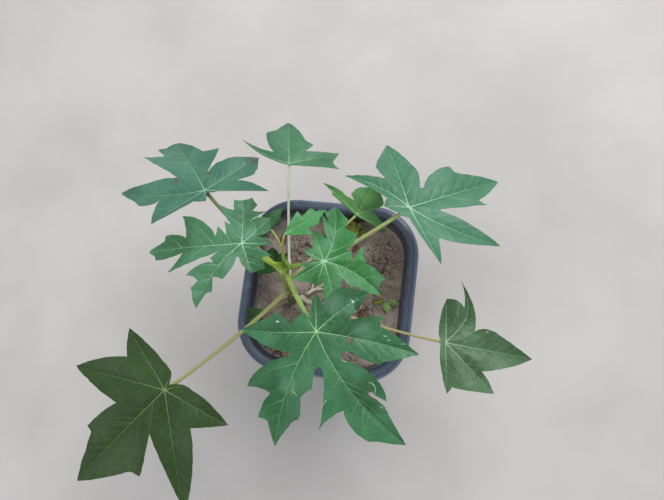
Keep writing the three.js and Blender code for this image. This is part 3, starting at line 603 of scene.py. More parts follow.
class Paint:
    """A material with its nodes, and short ways to add more."""

    def __init__(self, name):
        self.material = bpy.data.materials.new(name)
        self.material.use_nodes = True
        self.tree = self.material.node_tree
        self.shader = self.tree.nodes["Principled BSDF"]
        self.coords = self.tree.nodes.new("ShaderNodeTexCoord").outputs["Object"]

    def put(self, socket, value):
        if isinstance(value, bpy.types.NodeSocket):
            self.tree.links.new(value, socket)
        else:
            socket.default_value = linear(value) if socket.type == "RGBA" else value

    def node(self, kind, out, inputs, **settings):
        """Adds a node and gives back one of its outputs."""
        node = self.tree.nodes.new("ShaderNode" + kind)
        for name, value in settings.items():
            setattr(node, name, value)
        for name, value in inputs.items():
            self.put(node.inputs[name], value)
        return node.outputs[out]

    def stretched(self, stretch):
        if stretch is None:
            return self.coords
        return self.node("Mapping", 0, {"Scale": stretch, "Vector": self.coords})

    def noise(self, scale, detail=3.0, uneven=0.55, stretch=None):
        inputs = {"Scale": scale, "Detail": detail, "Roughness": uneven, "Vector": self.stretched(stretch)}
        return self.node("TexNoise", "Fac", inputs)

    def cells(self, scale, feature="DISTANCE_TO_EDGE", stretch=None):
        inputs = {"Scale": scale, "Vector": self.stretched(stretch)}
        return self.node("TexVoronoi", "Distance", inputs, feature=feature)

    def field(self, name):
        return self.node("Attribute", "Fac", {}, attribute_name=name)

    def height(self):
        return self.node("SeparateXYZ", "Z", {"Vector": self.coords})

    def ramp(self, value, low, high, to_low=0.0, to_high=1.0):
        inputs = {"Value": value, "From Min": low, "From Max": high, "To Min": to_low, "To Max": to_high}
        return self.node("MapRange", "Result", inputs, interpolation_type="SMOOTHSTEP")

    def times(self, a, b):
        return self.node("Math", 0, {0: a, 1: b}, operation="MULTIPLY")

    def sums(self, a, b):
        return self.node("Math", 0, {0: a, 1: b}, operation="ADD")

    def mix(self, share, a, b):
        return self.node("Mix", 2, {0: share, 6: a, 7: b}, data_type="RGBA")

    def over(self, share, colour):
        """Lays a colour over what there is, as far as the share says."""
        self.colour = self.mix(share, self.colour, colour)

    def bump(self, value, depth, strength=1.0):
        normal = self.node("Bump", "Normal", {"Strength": strength, "Distance": depth, "Height": value})
        self.put(self.shader.inputs["Normal"], normal)

    def finish(self, roughness, **rest):
        for name, value in {"Base_Color": self.colour, "Roughness": roughness, **rest}.items():
            self.put(self.shader.inputs[name.replace("_", " ")], value)
        return self.material


def leaf_paint(name, dark, light, vein):
    paint = Paint(f"leaf_{name}")
    painted_shade_green = [c * 0.7 for c in dark]
    patches = paint.ramp(paint.noise(22, 3), 0.3, 0.74)
    mottle = paint.ramp(paint.noise(120, 3), 0.38, 0.7)
    paint.colour = paint.mix(patches, dark, light)
    paint.over(paint.times(mottle, 0.3), dark)
    paint.over(paint.ramp(paint.field("vein"), 0.3, 3.0, 0.2, 0), light)
    paint.over(paint.ramp(paint.field("side"), 0.1, 1.4, 0.12, 0), light)
    net = paint.ramp(paint.cells(330), 0.0, 0.08, 1, 0)
    paint.over(paint.times(net, 0.1), vein)
    specks = paint.ramp(paint.cells(95, "F1"), 0.03, 0.06, 1, 0)
    dusty = paint.ramp(paint.noise(38, 2), 0.58, 0.66)
    paint.over(paint.times(paint.times(specks, dusty), 0.45), (196, 206, 190))
    # Painted shade (a deeper green) and painted sheen (a pale bluish green) where the patches lie
    paint.over(paint.times(paint.field("shade_and_sheen"), 0.6), painted_shade_green)
    paint.over(paint.times(paint.field("shade_and_sheen"), -0.6), (150, 190, 165))
    pale = paint.mix(0.5, light, (140, 172, 128))
    paint.over(paint.field("under"), pale)
    dry = paint.mix(paint.noise(600, 2), (60, 50, 36), (124, 108, 70))
    paint.over(paint.field("wither"), dry)
    relief = paint.sums(paint.times(net, -0.6), paint.times(mottle, 1.2))
    paint.bump(relief, 0.0004, 0.5)
    shine = paint.ramp(mottle, 0, 1, 0.36, 0.46)
    gloss = 0.2 if name.startswith("low") else 0.4
    return paint.finish(shine, Specular_IOR_Level=gloss, Sheen_Weight=0.03, Sheen_Roughness=0.5)


def vein_paint(name, light, vein):
    paint = Paint(f"vein_{name}")
    paint.colour = paint.mix(paint.ramp(paint.field("fade"), 0.1, 1.1), vein, light)
    paint.over(paint.ramp(paint.noise(300, 2), 0.3, 0.7, 0, 0.2), light)
    return paint.finish(0.5)


def stalk_paint(name, near, far):
    paint = Paint(f"stalk_{name}")
    paint.colour = paint.mix(paint.ramp(paint.field("along"), 0.05, 0.9), near, far)
    streaks = paint.ramp(paint.noise(500, 3), 0.35, 0.7, 0, 0.45)
    paint.over(streaks, paint.mix(0.3, far, (92, 110, 48)))
    blush = paint.ramp(paint.noise(60, 2), 0.56, 0.72, 0, 0.2)
    paint.over(blush, (160, 122, 88))
    paint.bump(paint.noise(700, 3), 0.0003, 0.5)
    return paint.finish(0.45, Specular_IOR_Level=0.45)


def stem_paint():
    paint = Paint("stem_skin")
    up = paint.field("along")
    paint.colour = paint.mix(paint.ramp(up, 0.0, 0.75), (112, 100, 62), (138, 148, 66))
    paint.over(paint.ramp(up, 0.8, 1.0), (160, 180, 80))
    paint.over(paint.ramp(paint.noise(120, 4), 0.45, 0.7, 0, 0.7), (96, 92, 50))
    paint.over(paint.field("scar"), (150, 136, 96))
    lenticels = paint.ramp(paint.cells(420, "F1", (1, 1, 0.4)), 0.12, 0.2, 0.6, 0)
    paint.over(lenticels, (170, 160, 116))
    paint.bump(paint.noise(520, 4), 0.0006, 0.7)
    return paint.finish(0.6)


def pot_paint():
    paint = Paint("pot_plastic")
    broad = paint.ramp(paint.noise(16, 4), 0.3, 0.75)
    paint.colour = paint.mix(broad, (36, 43, 58), (50, 60, 78))
    scuffs = paint.ramp(paint.noise(90, 5, 0.7, (1, 1, 0.25)), 0.56, 0.74, 0, 0.4)
    paint.over(scuffs, (128, 138, 152))
    dust = paint.ramp(paint.noise(900, 3, 0.7), 0.52, 0.7, 0, 0.25)
    paint.over(dust, (150, 148, 146))
    # Painted highlight on the lip: pale blue along the outer edge of its crest, fainter down its inner slope
    painted_lip_highlight = paint.ramp(paint.field("painted_lip_highlight"), 0.1, 0.9, 0, 0.5)
    paint.over(painted_lip_highlight, (118, 134, 160))
    # Pale band on the inner wall just above the soil: real soil dust, made stronger on the left (-X) side as
    # painted light on the left inner wall
    low = paint.ramp(paint.height(), 0.143, 0.160, 0.9, 0)
    inside = paint.times(paint.field("inside"), low)
    splash = paint.ramp(paint.noise(260, 4, 0.7), 0.3, 0.6)
    paint.over(paint.times(inside, splash), (176, 170, 166))
    paint.bump(paint.sums(paint.noise(1400, 2), paint.times(paint.noise(60, 2), 2.0)), 0.00025, 0.4)
    return paint.finish(paint.ramp(broad, 0, 1, 0.3, 0.44), Specular_IOR_Level=0.6)


def soil_paint():
    paint = Paint("soil_earth")
    broad = paint.ramp(paint.noise(30, 4), 0.36, 0.66)
    paint.colour = paint.mix(broad, (134, 114, 100), (184, 166, 156))
    fine = paint.ramp(paint.noise(420, 5, 0.7), 0.35, 0.68)
    paint.over(paint.times(fine, 0.6), (190, 176, 166))
    dark = paint.ramp(paint.noise(130, 5, 0.75), 0.5, 0.68, 0, 0.8)
    crumbly = paint.sums(paint.times(paint.field("crumbly"), 0.85), 0.22)
    paint.over(paint.times(dark, crumbly), (60, 46, 40))
    # Painted shade in the gaps between clods, where the soil's relief is lowest
    paint.over(paint.times(paint.field("crack_shade"), 0.85), (48, 36, 30))
    grit = paint.ramp(paint.cells(640, "F1"), 0.1, 0.22, 1, 0)
    paint.over(paint.times(grit, 0.3), (206, 196, 186))
    paint.bump(paint.noise(700, 6, 0.75), 0.0016, 0.9)
    return paint.finish(0.92, Specular_IOR_Level=0.2)


def dry_paint(name, dark, light):
    paint = Paint(name)
    paint.colour = paint.mix(paint.ramp(paint.noise(260, 4), 0.35, 0.65), dark, light)
    paint.over(paint.ramp(paint.noise(900, 3, 0.7, (1, 1, 3)), 0.5, 0.7, 0, 0.4), dark)
    paint.bump(paint.noise(900, 4, 0.7), 0.0005, 0.8)
    return paint.finish(0.8)


SOIL_PAINT = soil_paint()
DRY = {name: dry_paint(name, *colours) for name, colours in DRY_LOOKS.items()}


# Leaf blades

def turned(p, degrees):
    """Flat points turned counterclockwise about the origin."""
    p = np.asarray(p, float)
    c, s = math.cos(math.radians(degrees)), math.sin(math.radians(degrees))
    return np.stack([p[..., 0] * c - p[..., 1] * s, p[..., 0] * s + p[..., 1] * c], -1)


def vein_offset(x, lobe):
    """How far a lobe's main vein lies to the left of its straight line, at x along it."""
    length = lobe[1]
    bend, power = lobe[4:] + [VEIN_BEND, 2][len(lobe) - 4:]
    return bend * length * (np.maximum(0, x) / length) ** power


def curve(a, b, first, second):
    """Points from a towards b, without b. Control points are shares along and shares out to the left."""
    a, b = np.asarray(a, float), np.asarray(b, float)
    step = b - a
    left = np.array([-step[1], step[0]])
    c, d = (a + along * step + out * left for along, out in (first, second))
    count = max(4, math.ceil(np.linalg.norm(step) / EDGE_STEP))
    t = (np.arange(count) / count)[:, None]
    return (1 - t) ** 3 * a + 3 * t * (1 - t) ** 2 * c + 3 * t * t * (1 - t) * d + t ** 3 * b


def lobe_edge(start, teeth, tip, bulge, sign):
    """One edge of a lobe lying along +X, from its cleft to just before its tip."""
    parts = []
    here = start
    for peak, notch, swell in teeth:
        puff = PUFF * swell * sign
        parts.append(curve(here, peak, (0.25, puff), (0.75, puff)))
        parts.append(curve(peak, notch, (0.35, -0.08 * sign), (0.75, -0.1 * sign)))
        here = notch
    puff = PUFF * bulge * sign
    parts.append(curve(here, tip, (0.25, puff), (0.7, 0.8 * puff)))
    return np.concatenate(parts)


def bent(points, lobe, way=1):
    """Points beside a straight lobe, moved with its vein's bend, or back with way at -1."""
    points = np.array(points, float)
    points[..., 1] += way * vein_offset(points[..., 0], lobe)
    return points


def leaf_outline(leaf):
    """Closed outline of a blade in its plane, counterclockwise from the sinus by the stalk."""
    lobes = leaf["lobes"]
    clefts = [(cleft + [0])[:3] for cleft in leaf["clefts"]]
    base = np.array([-leaf["form"][2], 0.0])
    last = len(lobes) - 1
    parts = []
    for i, lobe in enumerate(lobes):
        angle, length = lobe[0], lobe[1]
        right = turned(clefts[i - 1][1:], clefts[i - 1][0]) if i > 0 else base
        left = turned([clefts[i][1], -clefts[i][2]], clefts[i][0]) if i < last else base
        for sign, start, bulge in ((-1, right, lobe[2]), (1, left, lobe[3])):
            teeth = [
                ((x * length, sign * y * length), (nx * length, sign * ny * length), swell)
                for k, way, x, y, nx, ny, swell in leaf["teeth"] if k == i and way == sign
            ]
            edge = lobe_edge(bent(turned(start, -angle), lobe, -1), teeth, (length, 0.0), bulge, sign)
            edge = turned(bent(edge, lobe), angle)
            if sign < 0:
                parts.append(edge)
                parts.append(turned(bent([[length, 0.0]], lobe), angle))
            else:
                parts.append(edge[::-1])
        if i < last and clefts[i][2] > 0:
            parts.append(turned([[clefts[i][1] - 0.8 * clefts[i][2], 0.0]], clefts[i][0]))
    outline = np.concatenate(parts)
    keep = np.linalg.norm(outline - np.roll(outline, 1, axis=0), axis=1) > 1e-4
    return outline[keep]


def wavy(outline, seed):
    """The outline with the small unevenness of a grown edge."""
    before, after = np.roll(outline, 1, axis=0), np.roll(outline, -1, axis=0)
    step = after - before
    length = np.linalg.norm(step, axis=1)[:, None]
    normal = np.stack([step[:, 1], -step[:, 0]], 1) / np.maximum(length, 1e-6)
    straight = np.linalg.norm(outline * 2 - before - after, axis=1) < 0.5
    push = 0.45 * rough_at(outline, 5, seed) + 0.25 * rough_at(outline, 2.2, seed)
    return outline + normal * (push * straight)[:, None]


def inside(points, outline):
    """Which points lie within the closed outline."""
    points = np.atleast_2d(points)
    a, b = outline, np.roll(outline, -1, axis=0)
    result = np.zeros(len(points), bool)
    for start in range(0, len(points), 2000):
        p = points[start:start + 2000, None, :]
        over = (a[:, 1] > p[..., 1]) != (b[:, 1] > p[..., 1])
        with np.errstate(divide="ignore", invalid="ignore"):
            cross = (b[:, 0] - a[:, 0]) * (p[..., 1] - a[:, 1]) / (b[:, 1] - a[:, 1]) + a[:, 0]
        result[start:start + 2000] = ((p[..., 0] < cross) & over).sum(axis=1) % 2 == 1
    return result


def near(points, others):
    """Distance from each point to the nearest of the others."""
    others = np.asarray(others)
    tree = kdtree.KDTree(len(others))
    for k, p in enumerate(others):
        tree.insert((p[0], p[1], 0.0), k)
    tree.balance()
    return np.array([tree.find((p[0], p[1], 0.0))[2] for p in points])


def dense(line, step=0.5):
    """The same line with points closer together."""
    line = np.asarray(line, float)
    parts = []
    for a, b in zip(line[:-1], line[1:]):
        count = max(1, math.ceil(np.linalg.norm(b - a) / step))
        parts.append(a + (b - a) * (np.arange(count) / count)[:, None])
    parts.append(line[-1:])
    return np.concatenate(parts)


def lobe_distances(points, leaf):
    """Distance of each point from each lobe's main vein."""
    points = np.atleast_2d(points)
    rows = []
    for lobe in leaf["lobes"]:
        q = turned(points, -lobe[0])
        along = np.clip(q[:, 0], 0, lobe[1])
        rows.append(np.hypot(q[:, 0] - along, q[:, 1] - vein_offset(along, lobe)))
    return np.array(rows)


def main_vein(lobe):
    x = np.arange(0, lobe[1] * 0.96, SHEET_STEP)
    return turned(np.stack([x, vein_offset(x, lobe)], 1), lobe[0])


def tooth_vein(lobe, tooth):
    """Stronger side vein that runs out to a tooth."""
    length = lobe[1]
    side, tip_x, tip_y = tooth[1], tooth[2] * length, tooth[3] * length
    start_x = max(0.1 * length, tip_x - 1.05 * tip_y - 0.06 * length)
    a = np.array([start_x, 0.0])
    d = np.array([tip_x, side * tip_y]) * 0.97
    middle = np.array([start_x + 0.42 * (d[0] - start_x), d[1] * 0.58])
    count = max(5, math.ceil(np.linalg.norm(d - a) / SHEET_STEP))
    t = np.linspace(0, 1, count)[:, None]
    curve = (1 - t) ** 2 * a + 2 * t * (1 - t) * middle + t * t * d
    return turned(bent(curve, lobe), lobe[0])


def gap(points, p):
    """Distance from p to the nearest of the points."""
    return np.hypot(*(points - p).T).min()


def tooth_veins(leaf, outline):
    """Side veins that run out to the larger teeth, as far as they stay on the blade."""
    veins = []
    for i, lobe in enumerate(leaf["lobes"]):
        for tooth in leaf["teeth"]:
            if tooth[0] == i and tooth[3] > SMALL_TOOTH:
                line = tooth_vein(lobe, tooth)
                within = inside(line, outline)
                stop = len(line) if within.all() else int(np.argmin(within))
                if stop > 4:
                    veins.append(line[:stop])
    return veins


def side_veins(leaf, outline, seed):
    """Side veins of a blade: those that run to teeth, and the even rows between them."""
    draw = random.Random(seed)
    strong, fine = tooth_veins(leaf, outline), []
    taken = np.concatenate([dense(line) for line in strong]) if strong else np.full((1, 2), 1e6)
    edge = dense(np.vstack([outline, outline[:1]]))
    for i, lobe in enumerate(leaf["lobes"]):
        length = lobe[1]
        space = min(13, max(5.5, length * 0.115))
        for side in (-1, 1):
            x = space * (0.9 if side > 0 else 1.35) + draw.uniform(-1, 1)
            while x < length * 0.9:
                heading = lobe[0] + side * (57 - 20 * x / length + draw.uniform(-4, 4))
                p = turned(bent([[x, 0.0]], lobe), lobe[0])[0]
                line = [p]
                while len(line) * SHEET_STEP < length * 0.6:
                    heading -= side * 0.9 + draw.uniform(-1.2, 1.2)
                    p = p + turned([SHEET_STEP, 0.0], heading)
                    gone = len(line) > 2 and gap(taken, p) < VEIN_ROOM
                    other = lobe_distances([p], leaf)[:, 0].argmin() != i and len(line) > 3
                    if gone or other or not inside([p], outline)[0] or gap(edge, p) < EDGE_ROOM:
                        break
                    line.append(p)
                if len(line) > 4 and gap(taken, line[0]) > START_ROOM:
                    fine.append(np.array(line))
                x += space * draw.uniform(0.88, 1.12)
    return strong, fine


def oval(x, y, half_length, half_width, degrees, seed):
    """Outline of a hole with an uneven edge."""
    count = max(10, int(2 * math.pi * half_length / 0.6))
    t = 2 * math.pi * np.arange(count) / count
    uneven = 1 + 0.16 * rough_at(3 * np.stack([np.cos(t), np.sin(t)], 1), 2.4, seed)
    ring = np.stack([half_length * np.cos(t) * uneven, half_width * np.sin(t) * uneven], 1)
    return turned(ring, degrees) + [x, y]


def cut_sheet(outline, lines, holes, step):
    """Triangles that fill the outline, with edges along the lines and the holes left open."""
    points, edges = [], []
    for loop in [outline] + holes:
        start = len(points)
        points.extend(loop)
        edges.extend((start + k, start + (k + 1) % len(loop)) for k in range(len(loop)))
    for line in lines:
        start = len(points)
        points.extend(line)
        edges.extend((start + k, start + k + 1) for k in range(len(line) - 1))
    low, high = outline.min(axis=0), outline.max(axis=0)
    rows = np.arange(low[1], high[1], step * math.sqrt(3) / 2)
    cols = np.arange(low[0], high[0], step)
    grid = np.array([(x + (j % 2) * step / 2, y) for j, y in enumerate(rows) for x in cols])
    grid = grid[inside(grid, outline)]
    grid = grid[near(grid, np.array(points)) > 0.62 * step]
    points = np.vstack([np.array(points), grid])
    made = delaunay_2d_cdt([Vector(p) for p in points], edges, [], 0, 1e-4, False)
    flat = np.array([tuple(p) for p in made[0]])
    faces = np.array([tuple(f) for f in made[2]])
    centre = flat[faces].mean(axis=1)
    keep = inside(centre, outline)
    for hole in holes:
        keep &= ~inside(centre, hole)
    faces = faces[keep]
    a, b, c = (flat[faces[:, k]] for k in range(3))
    area = (b[:, 0] - a[:, 0]) * (c[:, 1] - a[:, 1]) - (c[:, 0] - a[:, 0]) * (b[:, 1] - a[:, 1])
    faces[area < 0] = faces[area < 0][:, ::-1]
    faces = faces[np.abs(area) > 1e-7]
    used = np.unique(faces)
    renumber = np.full(len(flat), -1)
    renumber[used] = np.arange(len(used))
    return flat[used], renumber[faces]


def two_sided(faces, count):
    """Closed faces of a thin sheet: upper side, lower side, and a wall along each free edge."""
    faces = [tuple(int(k) for k in face) for face in faces]
    seen = dict.fromkeys(edge for a, b, c in faces for edge in ((a, b), (b, c), (c, a)))
    under = [(a + count, c + count, b + count) for a, b, c in faces]
    walls = [(b, a, a + count, b + count) for a, b in seen if (b, a) not in seen]
    return faces + under + walls


def blade_axes(leaf):
    """Directions along, left and up of a blade's plane."""
    heading, pitch, bank = (math.radians(angle) for angle in leaf["turn"])
    ahead, level = level_axes(heading)
    along = ahead * math.cos(pitch) - [0, 0, math.sin(pitch)]
    left = level * math.cos(bank) + np.cross(along, level) * math.sin(bank)
    return along, left, np.cross(along, left)


class Blade:
    """Surface of one leaf: the rule of its solid, with quilting between the veins and an uneven edge."""

    def __init__(self, name, leaf):
        self.leaf = leaf
        self.seed = 3.7 + 1.9 * list(LEAVES).index(name)
        self.axes = blade_axes(leaf)
        self.reach = max(lobe[1] for lobe in leaf["lobes"])
        self.outline = wavy(leaf_outline(leaf), self.seed)
        self.mains = [main_vein(lobe) for lobe in leaf["lobes"]]
        self.strong, self.fine = side_veins(leaf, self.outline, SEED + int(self.seed * 10))
        self.side_points = np.concatenate([dense(line) for line in self.strong + self.fine])

    def heights(self, points):
        """Height over the blade's plane, distance from the main veins, distance from the side veins."""
        points = np.atleast_2d(points)
        fold, sag, notch = self.leaf["form"]
        away = lobe_distances(points, self.leaf).min(axis=0)
        side = near(points, self.side_points)
        any_vein = np.minimum(away, side)
        r2 = (points ** 2).sum(axis=1)
        size = min(1.0, self.reach / FULL_REACH)
        height = fold * away - sag * r2 / self.reach
        height += QUILT * size * (1 - np.exp(-any_vein / (QUILT_WIDTH * size)))
        clear = 1 - np.exp(-np.sqrt(r2) / (HUB_WIDTH * size))
        height += VALLEY * size * clear * (0.5 - np.exp(-away / (VALLEY_WIDTH * size)))
        wave = rough_at(points, WAVE_LENGTH * size, self.seed)
        small = rough_at(points, RIPPLE_LENGTH * size, self.seed + 4)
        height += WAVE * (wave + 0.35 * small) * size * np.minimum(1, away / (HUB_WIDTH * size))
        return height, away, side

    def place(self, points, heights):
        """Points of the blade's plane, lifted by the heights, in the frame of the plant."""
        along, left, up = self.axes
        points = np.atleast_2d(points)
        return (np.array(self.leaf["hub"]) + points[:, :1] * along + points[:, 1:] * left
                + np.asarray(heights)[:, None] * up)


    def on_top(self, points, lift):
        """Points over the blade's upper face."""
        return self.place(points, self.heights(points)[0] + BLADE_THICK / 2 + lift)


def spot(flat, x, y, radius):
    """How far each point is from the spot's middle, in parts of its radius."""
    return np.hypot(flat[:, 0] - x, flat[:, 1] - y) / radius


def leaf_blade(name, blade, paint):
    """Closed thin sheet of a leaf, with the fields that its paint follows."""
    holes = [oval(*row, blade.seed + k) for k, row in enumerate(HOLES.get(name, []))]
    flat, faces = cut_sheet(blade.outline, blade.mains + blade.strong + blade.fine, holes, SHEET_STEP)
    heights, away, side = blade.heights(flat)
    half = BLADE_THICK / 2
    points = np.vstack([blade.place(flat, heights + half), blade.place(flat, heights - half)])
    dry = np.zeros(len(flat))
    uneven = 0.35 * rough_at(flat, 2.5, blade.seed + 9)
    for row in WITHER.get(name, []):
        dry = np.maximum(dry, np.clip(1.5 - 1.5 * (spot(flat, *row) + uneven), 0, 1))
    for hole in holes:
        dry = np.maximum(dry, np.clip(1 - near(flat, hole) / HOLE_RIM, 0, 1))
    # Painted shade above zero and painted sheen below zero, from the patches
    shade_and_sheen = np.zeros(len(flat))
    for *row, depth in PAINTED_SHADE_AND_SHEEN.get(name, []):
        patch = depth * np.clip(1.6 - 1.5 * spot(flat, *row), 0, 1)
        shade_and_sheen = np.where(abs(patch) > abs(shade_and_sheen), patch, shade_and_sheen)
    fields = {"vein": away, "side": side, "wither": dry, "shade_and_sheen": shade_and_sheen}
    fields = {field: np.tile(values, 2) for field, values in fields.items()}
    fields["under"] = np.repeat([0.0, 1.0], len(flat))
    skin = (points, two_sided(faces, len(flat)))
    add_mesh(f"blade_{name}", skin, paint, [f"leaf_{name}"], 50, fields)


def leaf_veins(name, blade, paint, slot):
    """Raised ribs along the veins, stronger underneath, fading towards their ends."""
    heap = Heap()
    size = min(1.0, 0.45 + blade.reach / 200)
    rows = [(line, 0.95 * size, 0.28, 0.0, 0.6) for line in blade.mains]
    rows += [(line, 0.45 * size, 0.16, 0.45, 1.0) for line in blade.strong]
    rows += [(line, 0.32 * size, 0.13, 0.62, 1.0) for line in blade.fine]
    up = blade.axes[2]
    for line, thick, thin, faint, faintest in rows:
        points = blade.place(line, blade.heights(line)[0])
        t = np.linspace(0, 1, len(line))
        radii = thick + (thin - thick) * t ** 0.7
        radii[-1] *= 0.3
        rings = []
        for k, p in enumerate(points):
            along = unit(points[min(k + 1, len(points) - 1)] - points[max(k - 1, 0)])
            across = unit(np.cross(up, along))
            out = np.cross(along, across)
            ring = []
            for angle in turns(VEIN_SIDES):
                rise = math.sin(angle)
                lift = BLADE_THICK / 2 + (0.3 if rise > 0 else 0.75) * radii[k] if abs(rise) > 0.1 else 0
                ring.append(p + across * math.cos(angle) * radii[k] + out * lift * rise)
            rings.append(ring)
        fade = faint + (faintest - faint) * t ** 0.8
        heap.add(loft(rings), fade=[*np.repeat(fade, VEIN_SIDES), fade[0], fade[-1]])
    heap.piece(f"veins_{name}", paint, slot)


# Stem and stalks

def stem_point(t):
    """Middle of the stem, with t from 0 at the soil to 1 at the tip."""
    bend = STEM_BEND * 4 * t * (1 - t)
    return np.array([
        STEM_FOOT[0] + (STEM_TOP[0] - STEM_FOOT[0]) * t - bend,
        STEM_FOOT[1] + (STEM_TOP[1] - STEM_FOOT[1]) * t + bend * 0.4,
        STEM_BASE + (STEM_TOP_HEIGHT - STEM_BASE) * t,
    ])


def stem_radius(t):
    """The stem's radius, with a flare at the soil."""
    flare = (STEM_FOOT_RADIUS - STEM_LOW_RADIUS) * math.exp(-t / 0.06)
    return STEM_LOW_RADIUS + (STEM_TOP_RADIUS - STEM_LOW_RADIUS) * t + flare


def stalk_curve(leaf):
    """Three points of the stalk's curve, from the stem's middle line to the blade's hub."""
    height, joint, end, lift, bow = leaf["stalk"]
    start = stem_point((height - STEM_BASE) / (STEM_TOP_HEIGHT - STEM_BASE))
    hub = np.array(leaf["hub"], float)
    side = unit(np.array([-(hub[1] - start[1]), hub[0] - start[0], 0.0]))
    middle = (start + hub) / 2 + side * bow + [0, 0, lift]
    return start, middle, hub - blade_axes(leaf)[2] * (BLADE_THICK / 2 + 0.55 * end)


def leaf_stalk(name, leaf, paint, slot):
    """Grooved stalk of one leaf, thicker at both ends."""
    start, middle, end = stalk_curve(leaf)
    at_stem, at_blade = leaf["stalk"][1:3]
    length = np.linalg.norm(end - start)
    count = max(14, int(length / 2.2))
    t = np.linspace(0, 1, count)
    line = (1 - t)[:, None] ** 2 * start + (2 * t * (1 - t))[:, None] * middle + t[:, None] ** 2 * end
    base = at_stem + (at_blade - at_stem) * np.minimum(1, t * 1.6)
    swell = 1 + 0.32 * np.exp(-(t * length / 5.5) ** 2) + 0.22 * np.exp(-(((1 - t) * length) / 3.5) ** 2)
    swell *= np.clip(((1 - t) * length + 0.5) / 3.2, 0.1, 1) ** 0.6
    seed = 11 + list(LEAVES).index(name) * 1.7

    def ripple(k, angle):
        groove = 0.035 * math.cos(5 * angle + 0.4 * math.sin(t[k] * 4))
        return 1 + groove + 0.05 * rough((k * 0.8, 3 * math.cos(angle), 3 * math.sin(angle) + seed), 4)

    heap = Heap()
    heap.add(tube(line, base * swell, STALK_SIDES, ripple), along=[*np.repeat(t, STALK_SIDES), t[0], t[-1]])
    heap.piece(f"petiole_{name}", paint, slot, [f"stalk_{name}"])


def hub_cap(name, blade, paint, slot):
    """Small pale boss where the veins meet on top of the stalk."""
    radius = blade.leaf["stalk"][2] * 0.8
    heap = Heap()
    hub = np.array(blade.leaf["hub"], float)
    heap.add(boss(hub, blade.axes, radius, 0.5 * radius + 0.1, 0.06, 7, 16, 0.12, blade.seed), fade=0.1)
    heap.piece(f"hub_{name}", paint, slot)


def stem():
    """The leaning trunk, with leaf scars, fine ridges and a swelling at each low joint."""
    rings, along, scar_field = [], [], []
    heights = [SCAR_LOW + SCAR_STEP * k + rng.uniform(-2, 2) for k in range(SCAR_COUNT)]
    scars = [(height, math.radians(SCAR_TURN * k + 40)) for k, height in enumerate(heights)]
    joints = [leaf["stalk"][0] for leaf in LEAVES.values()]
    for level in range(STEM_LEVELS + 1):
        t = level / STEM_LEVELS
        centre = stem_point(t)
        height = centre[2]
        swell = 1 + sum(0.1 * math.exp(-((height - joint) / 2.6) ** 2) for joint in joints if joint < 250)
        ring = []
        for angle in turns(STEM_SIDES):
            radius = stem_radius(t) * swell
            radius *= 1 + 0.05 * rough((radius * math.cos(angle), radius * math.sin(angle), height), 5)
            radius += 0.12 * math.cos(9 * angle + height * 0.05)
            mark = 0.0
            for scar_height, heading in scars:
                across = math.remainder(angle - heading, 2 * math.pi) * radius
                far = math.hypot(across / 2.6, (height - scar_height) / 1.7)
                radius += 0.34 * math.exp(-((far - 1) / 0.35) ** 2) - 0.2 * math.exp(-(far / 0.6) ** 2)
                mark = max(mark, math.exp(-(far / 0.9) ** 4))
            ring.append(centre + radius * level_axes(angle)[0])
            scar_field.append(mark)
            along.append(t)
        rings.append(ring)
    fields = {"along": along + [0.0, 1.0], "scar": scar_field + [0.0, 0.0]}
    add_mesh("trunk", loft(rings), stem_paint(), ["stem"], fields=fields)


def apex():
    """Folded young leaves packed round the growing tip."""
    heap = Heap()
    tip = stem_point(1)
    for heading, lean, length, width in APEX_LEAVES:
        turn, tilt = math.radians(heading), math.radians(lean)
        out, side = level_axes(turn)
        rings = []
        for level in range(13):
            t = level / 12
            centre = tip + out * (1.0 + math.sin(tilt) * length * t ** 1.6)
            centre = centre + np.array([0, 0, -1.5 + (math.cos(tilt) * length + 1.5) * t])
            wide = width * (0.35 + 1.5 * math.sin(math.pi * min(1, t * 0.93 + 0.05)) ** 1.3) * (1 - 0.5 * t)
            wide *= 1 + 0.18 * math.sin(t * 16 + heading)
            ring = []
            for angle in turns(12):
                across, fold = wide * math.sin(angle), 0.5 * wide * abs(math.sin(angle))
                ring.append(centre + side * across + out * (0.4 * wide * math.cos(angle) + fold))
            rings.append(ring)
        heap.add(loft(rings), fade=0.2)
    heap.add(boss(tip - [0, 0, 3.5], np.eye(3), 5.0, 5.5, 0.04, 9, 20, 0.14, 1), fade=0.0)
    paint = vein_paint("apex", (108, 148, 50), (140, 168, 62))
    heap.piece("apex", paint, "young_leaf", ["apex_bud"])


# Pot and soil

def rounded_square(half, corner, z):
    """Level ring of points round a square with round corners."""
    ring = []
    centre = half - corner
    for quarter in range(4):
        turn = quarter * math.pi / 2
        cx = centre * math.sqrt(2) * math.cos(turn + math.pi / 4)
        cy = centre * math.sqrt(2) * math.sin(turn + math.pi / 4)
        for step in range(CORNER_STEPS + 1):
            angle = turn + step / CORNER_STEPS * math.pi / 2
            ring.append((cx + corner * math.cos(angle), cy + corner * math.sin(angle), z))
        end = ring[-1]
        for step in range(1, SIDE_STEPS):
            run = 2 * centre * step / SIDE_STEPS
            heading = turn + math.pi
            ring.append((end[0] + run * math.cos(heading), end[1] + run * math.sin(heading), z))
    return ring


def wall_ring(z, inset):
    """Ring on the tapering wall, moved inward by an inset."""
    t = z / (POT_HEIGHT - LIP_DEPTH)
    half = BASE_HALF + (WALL_TOP_HALF - BASE_HALF) * t
    corner = BASE_CORNER + (WALL_TOP_CORNER - BASE_CORNER) * t
    return rounded_square(half - inset, corner - inset, z)


def rim_ring(z, inset):
    """Ring on the rolled lip, moved inward by an inset."""
    return rounded_square(RIM_HALF - inset, RIM_CORNER - inset, z)


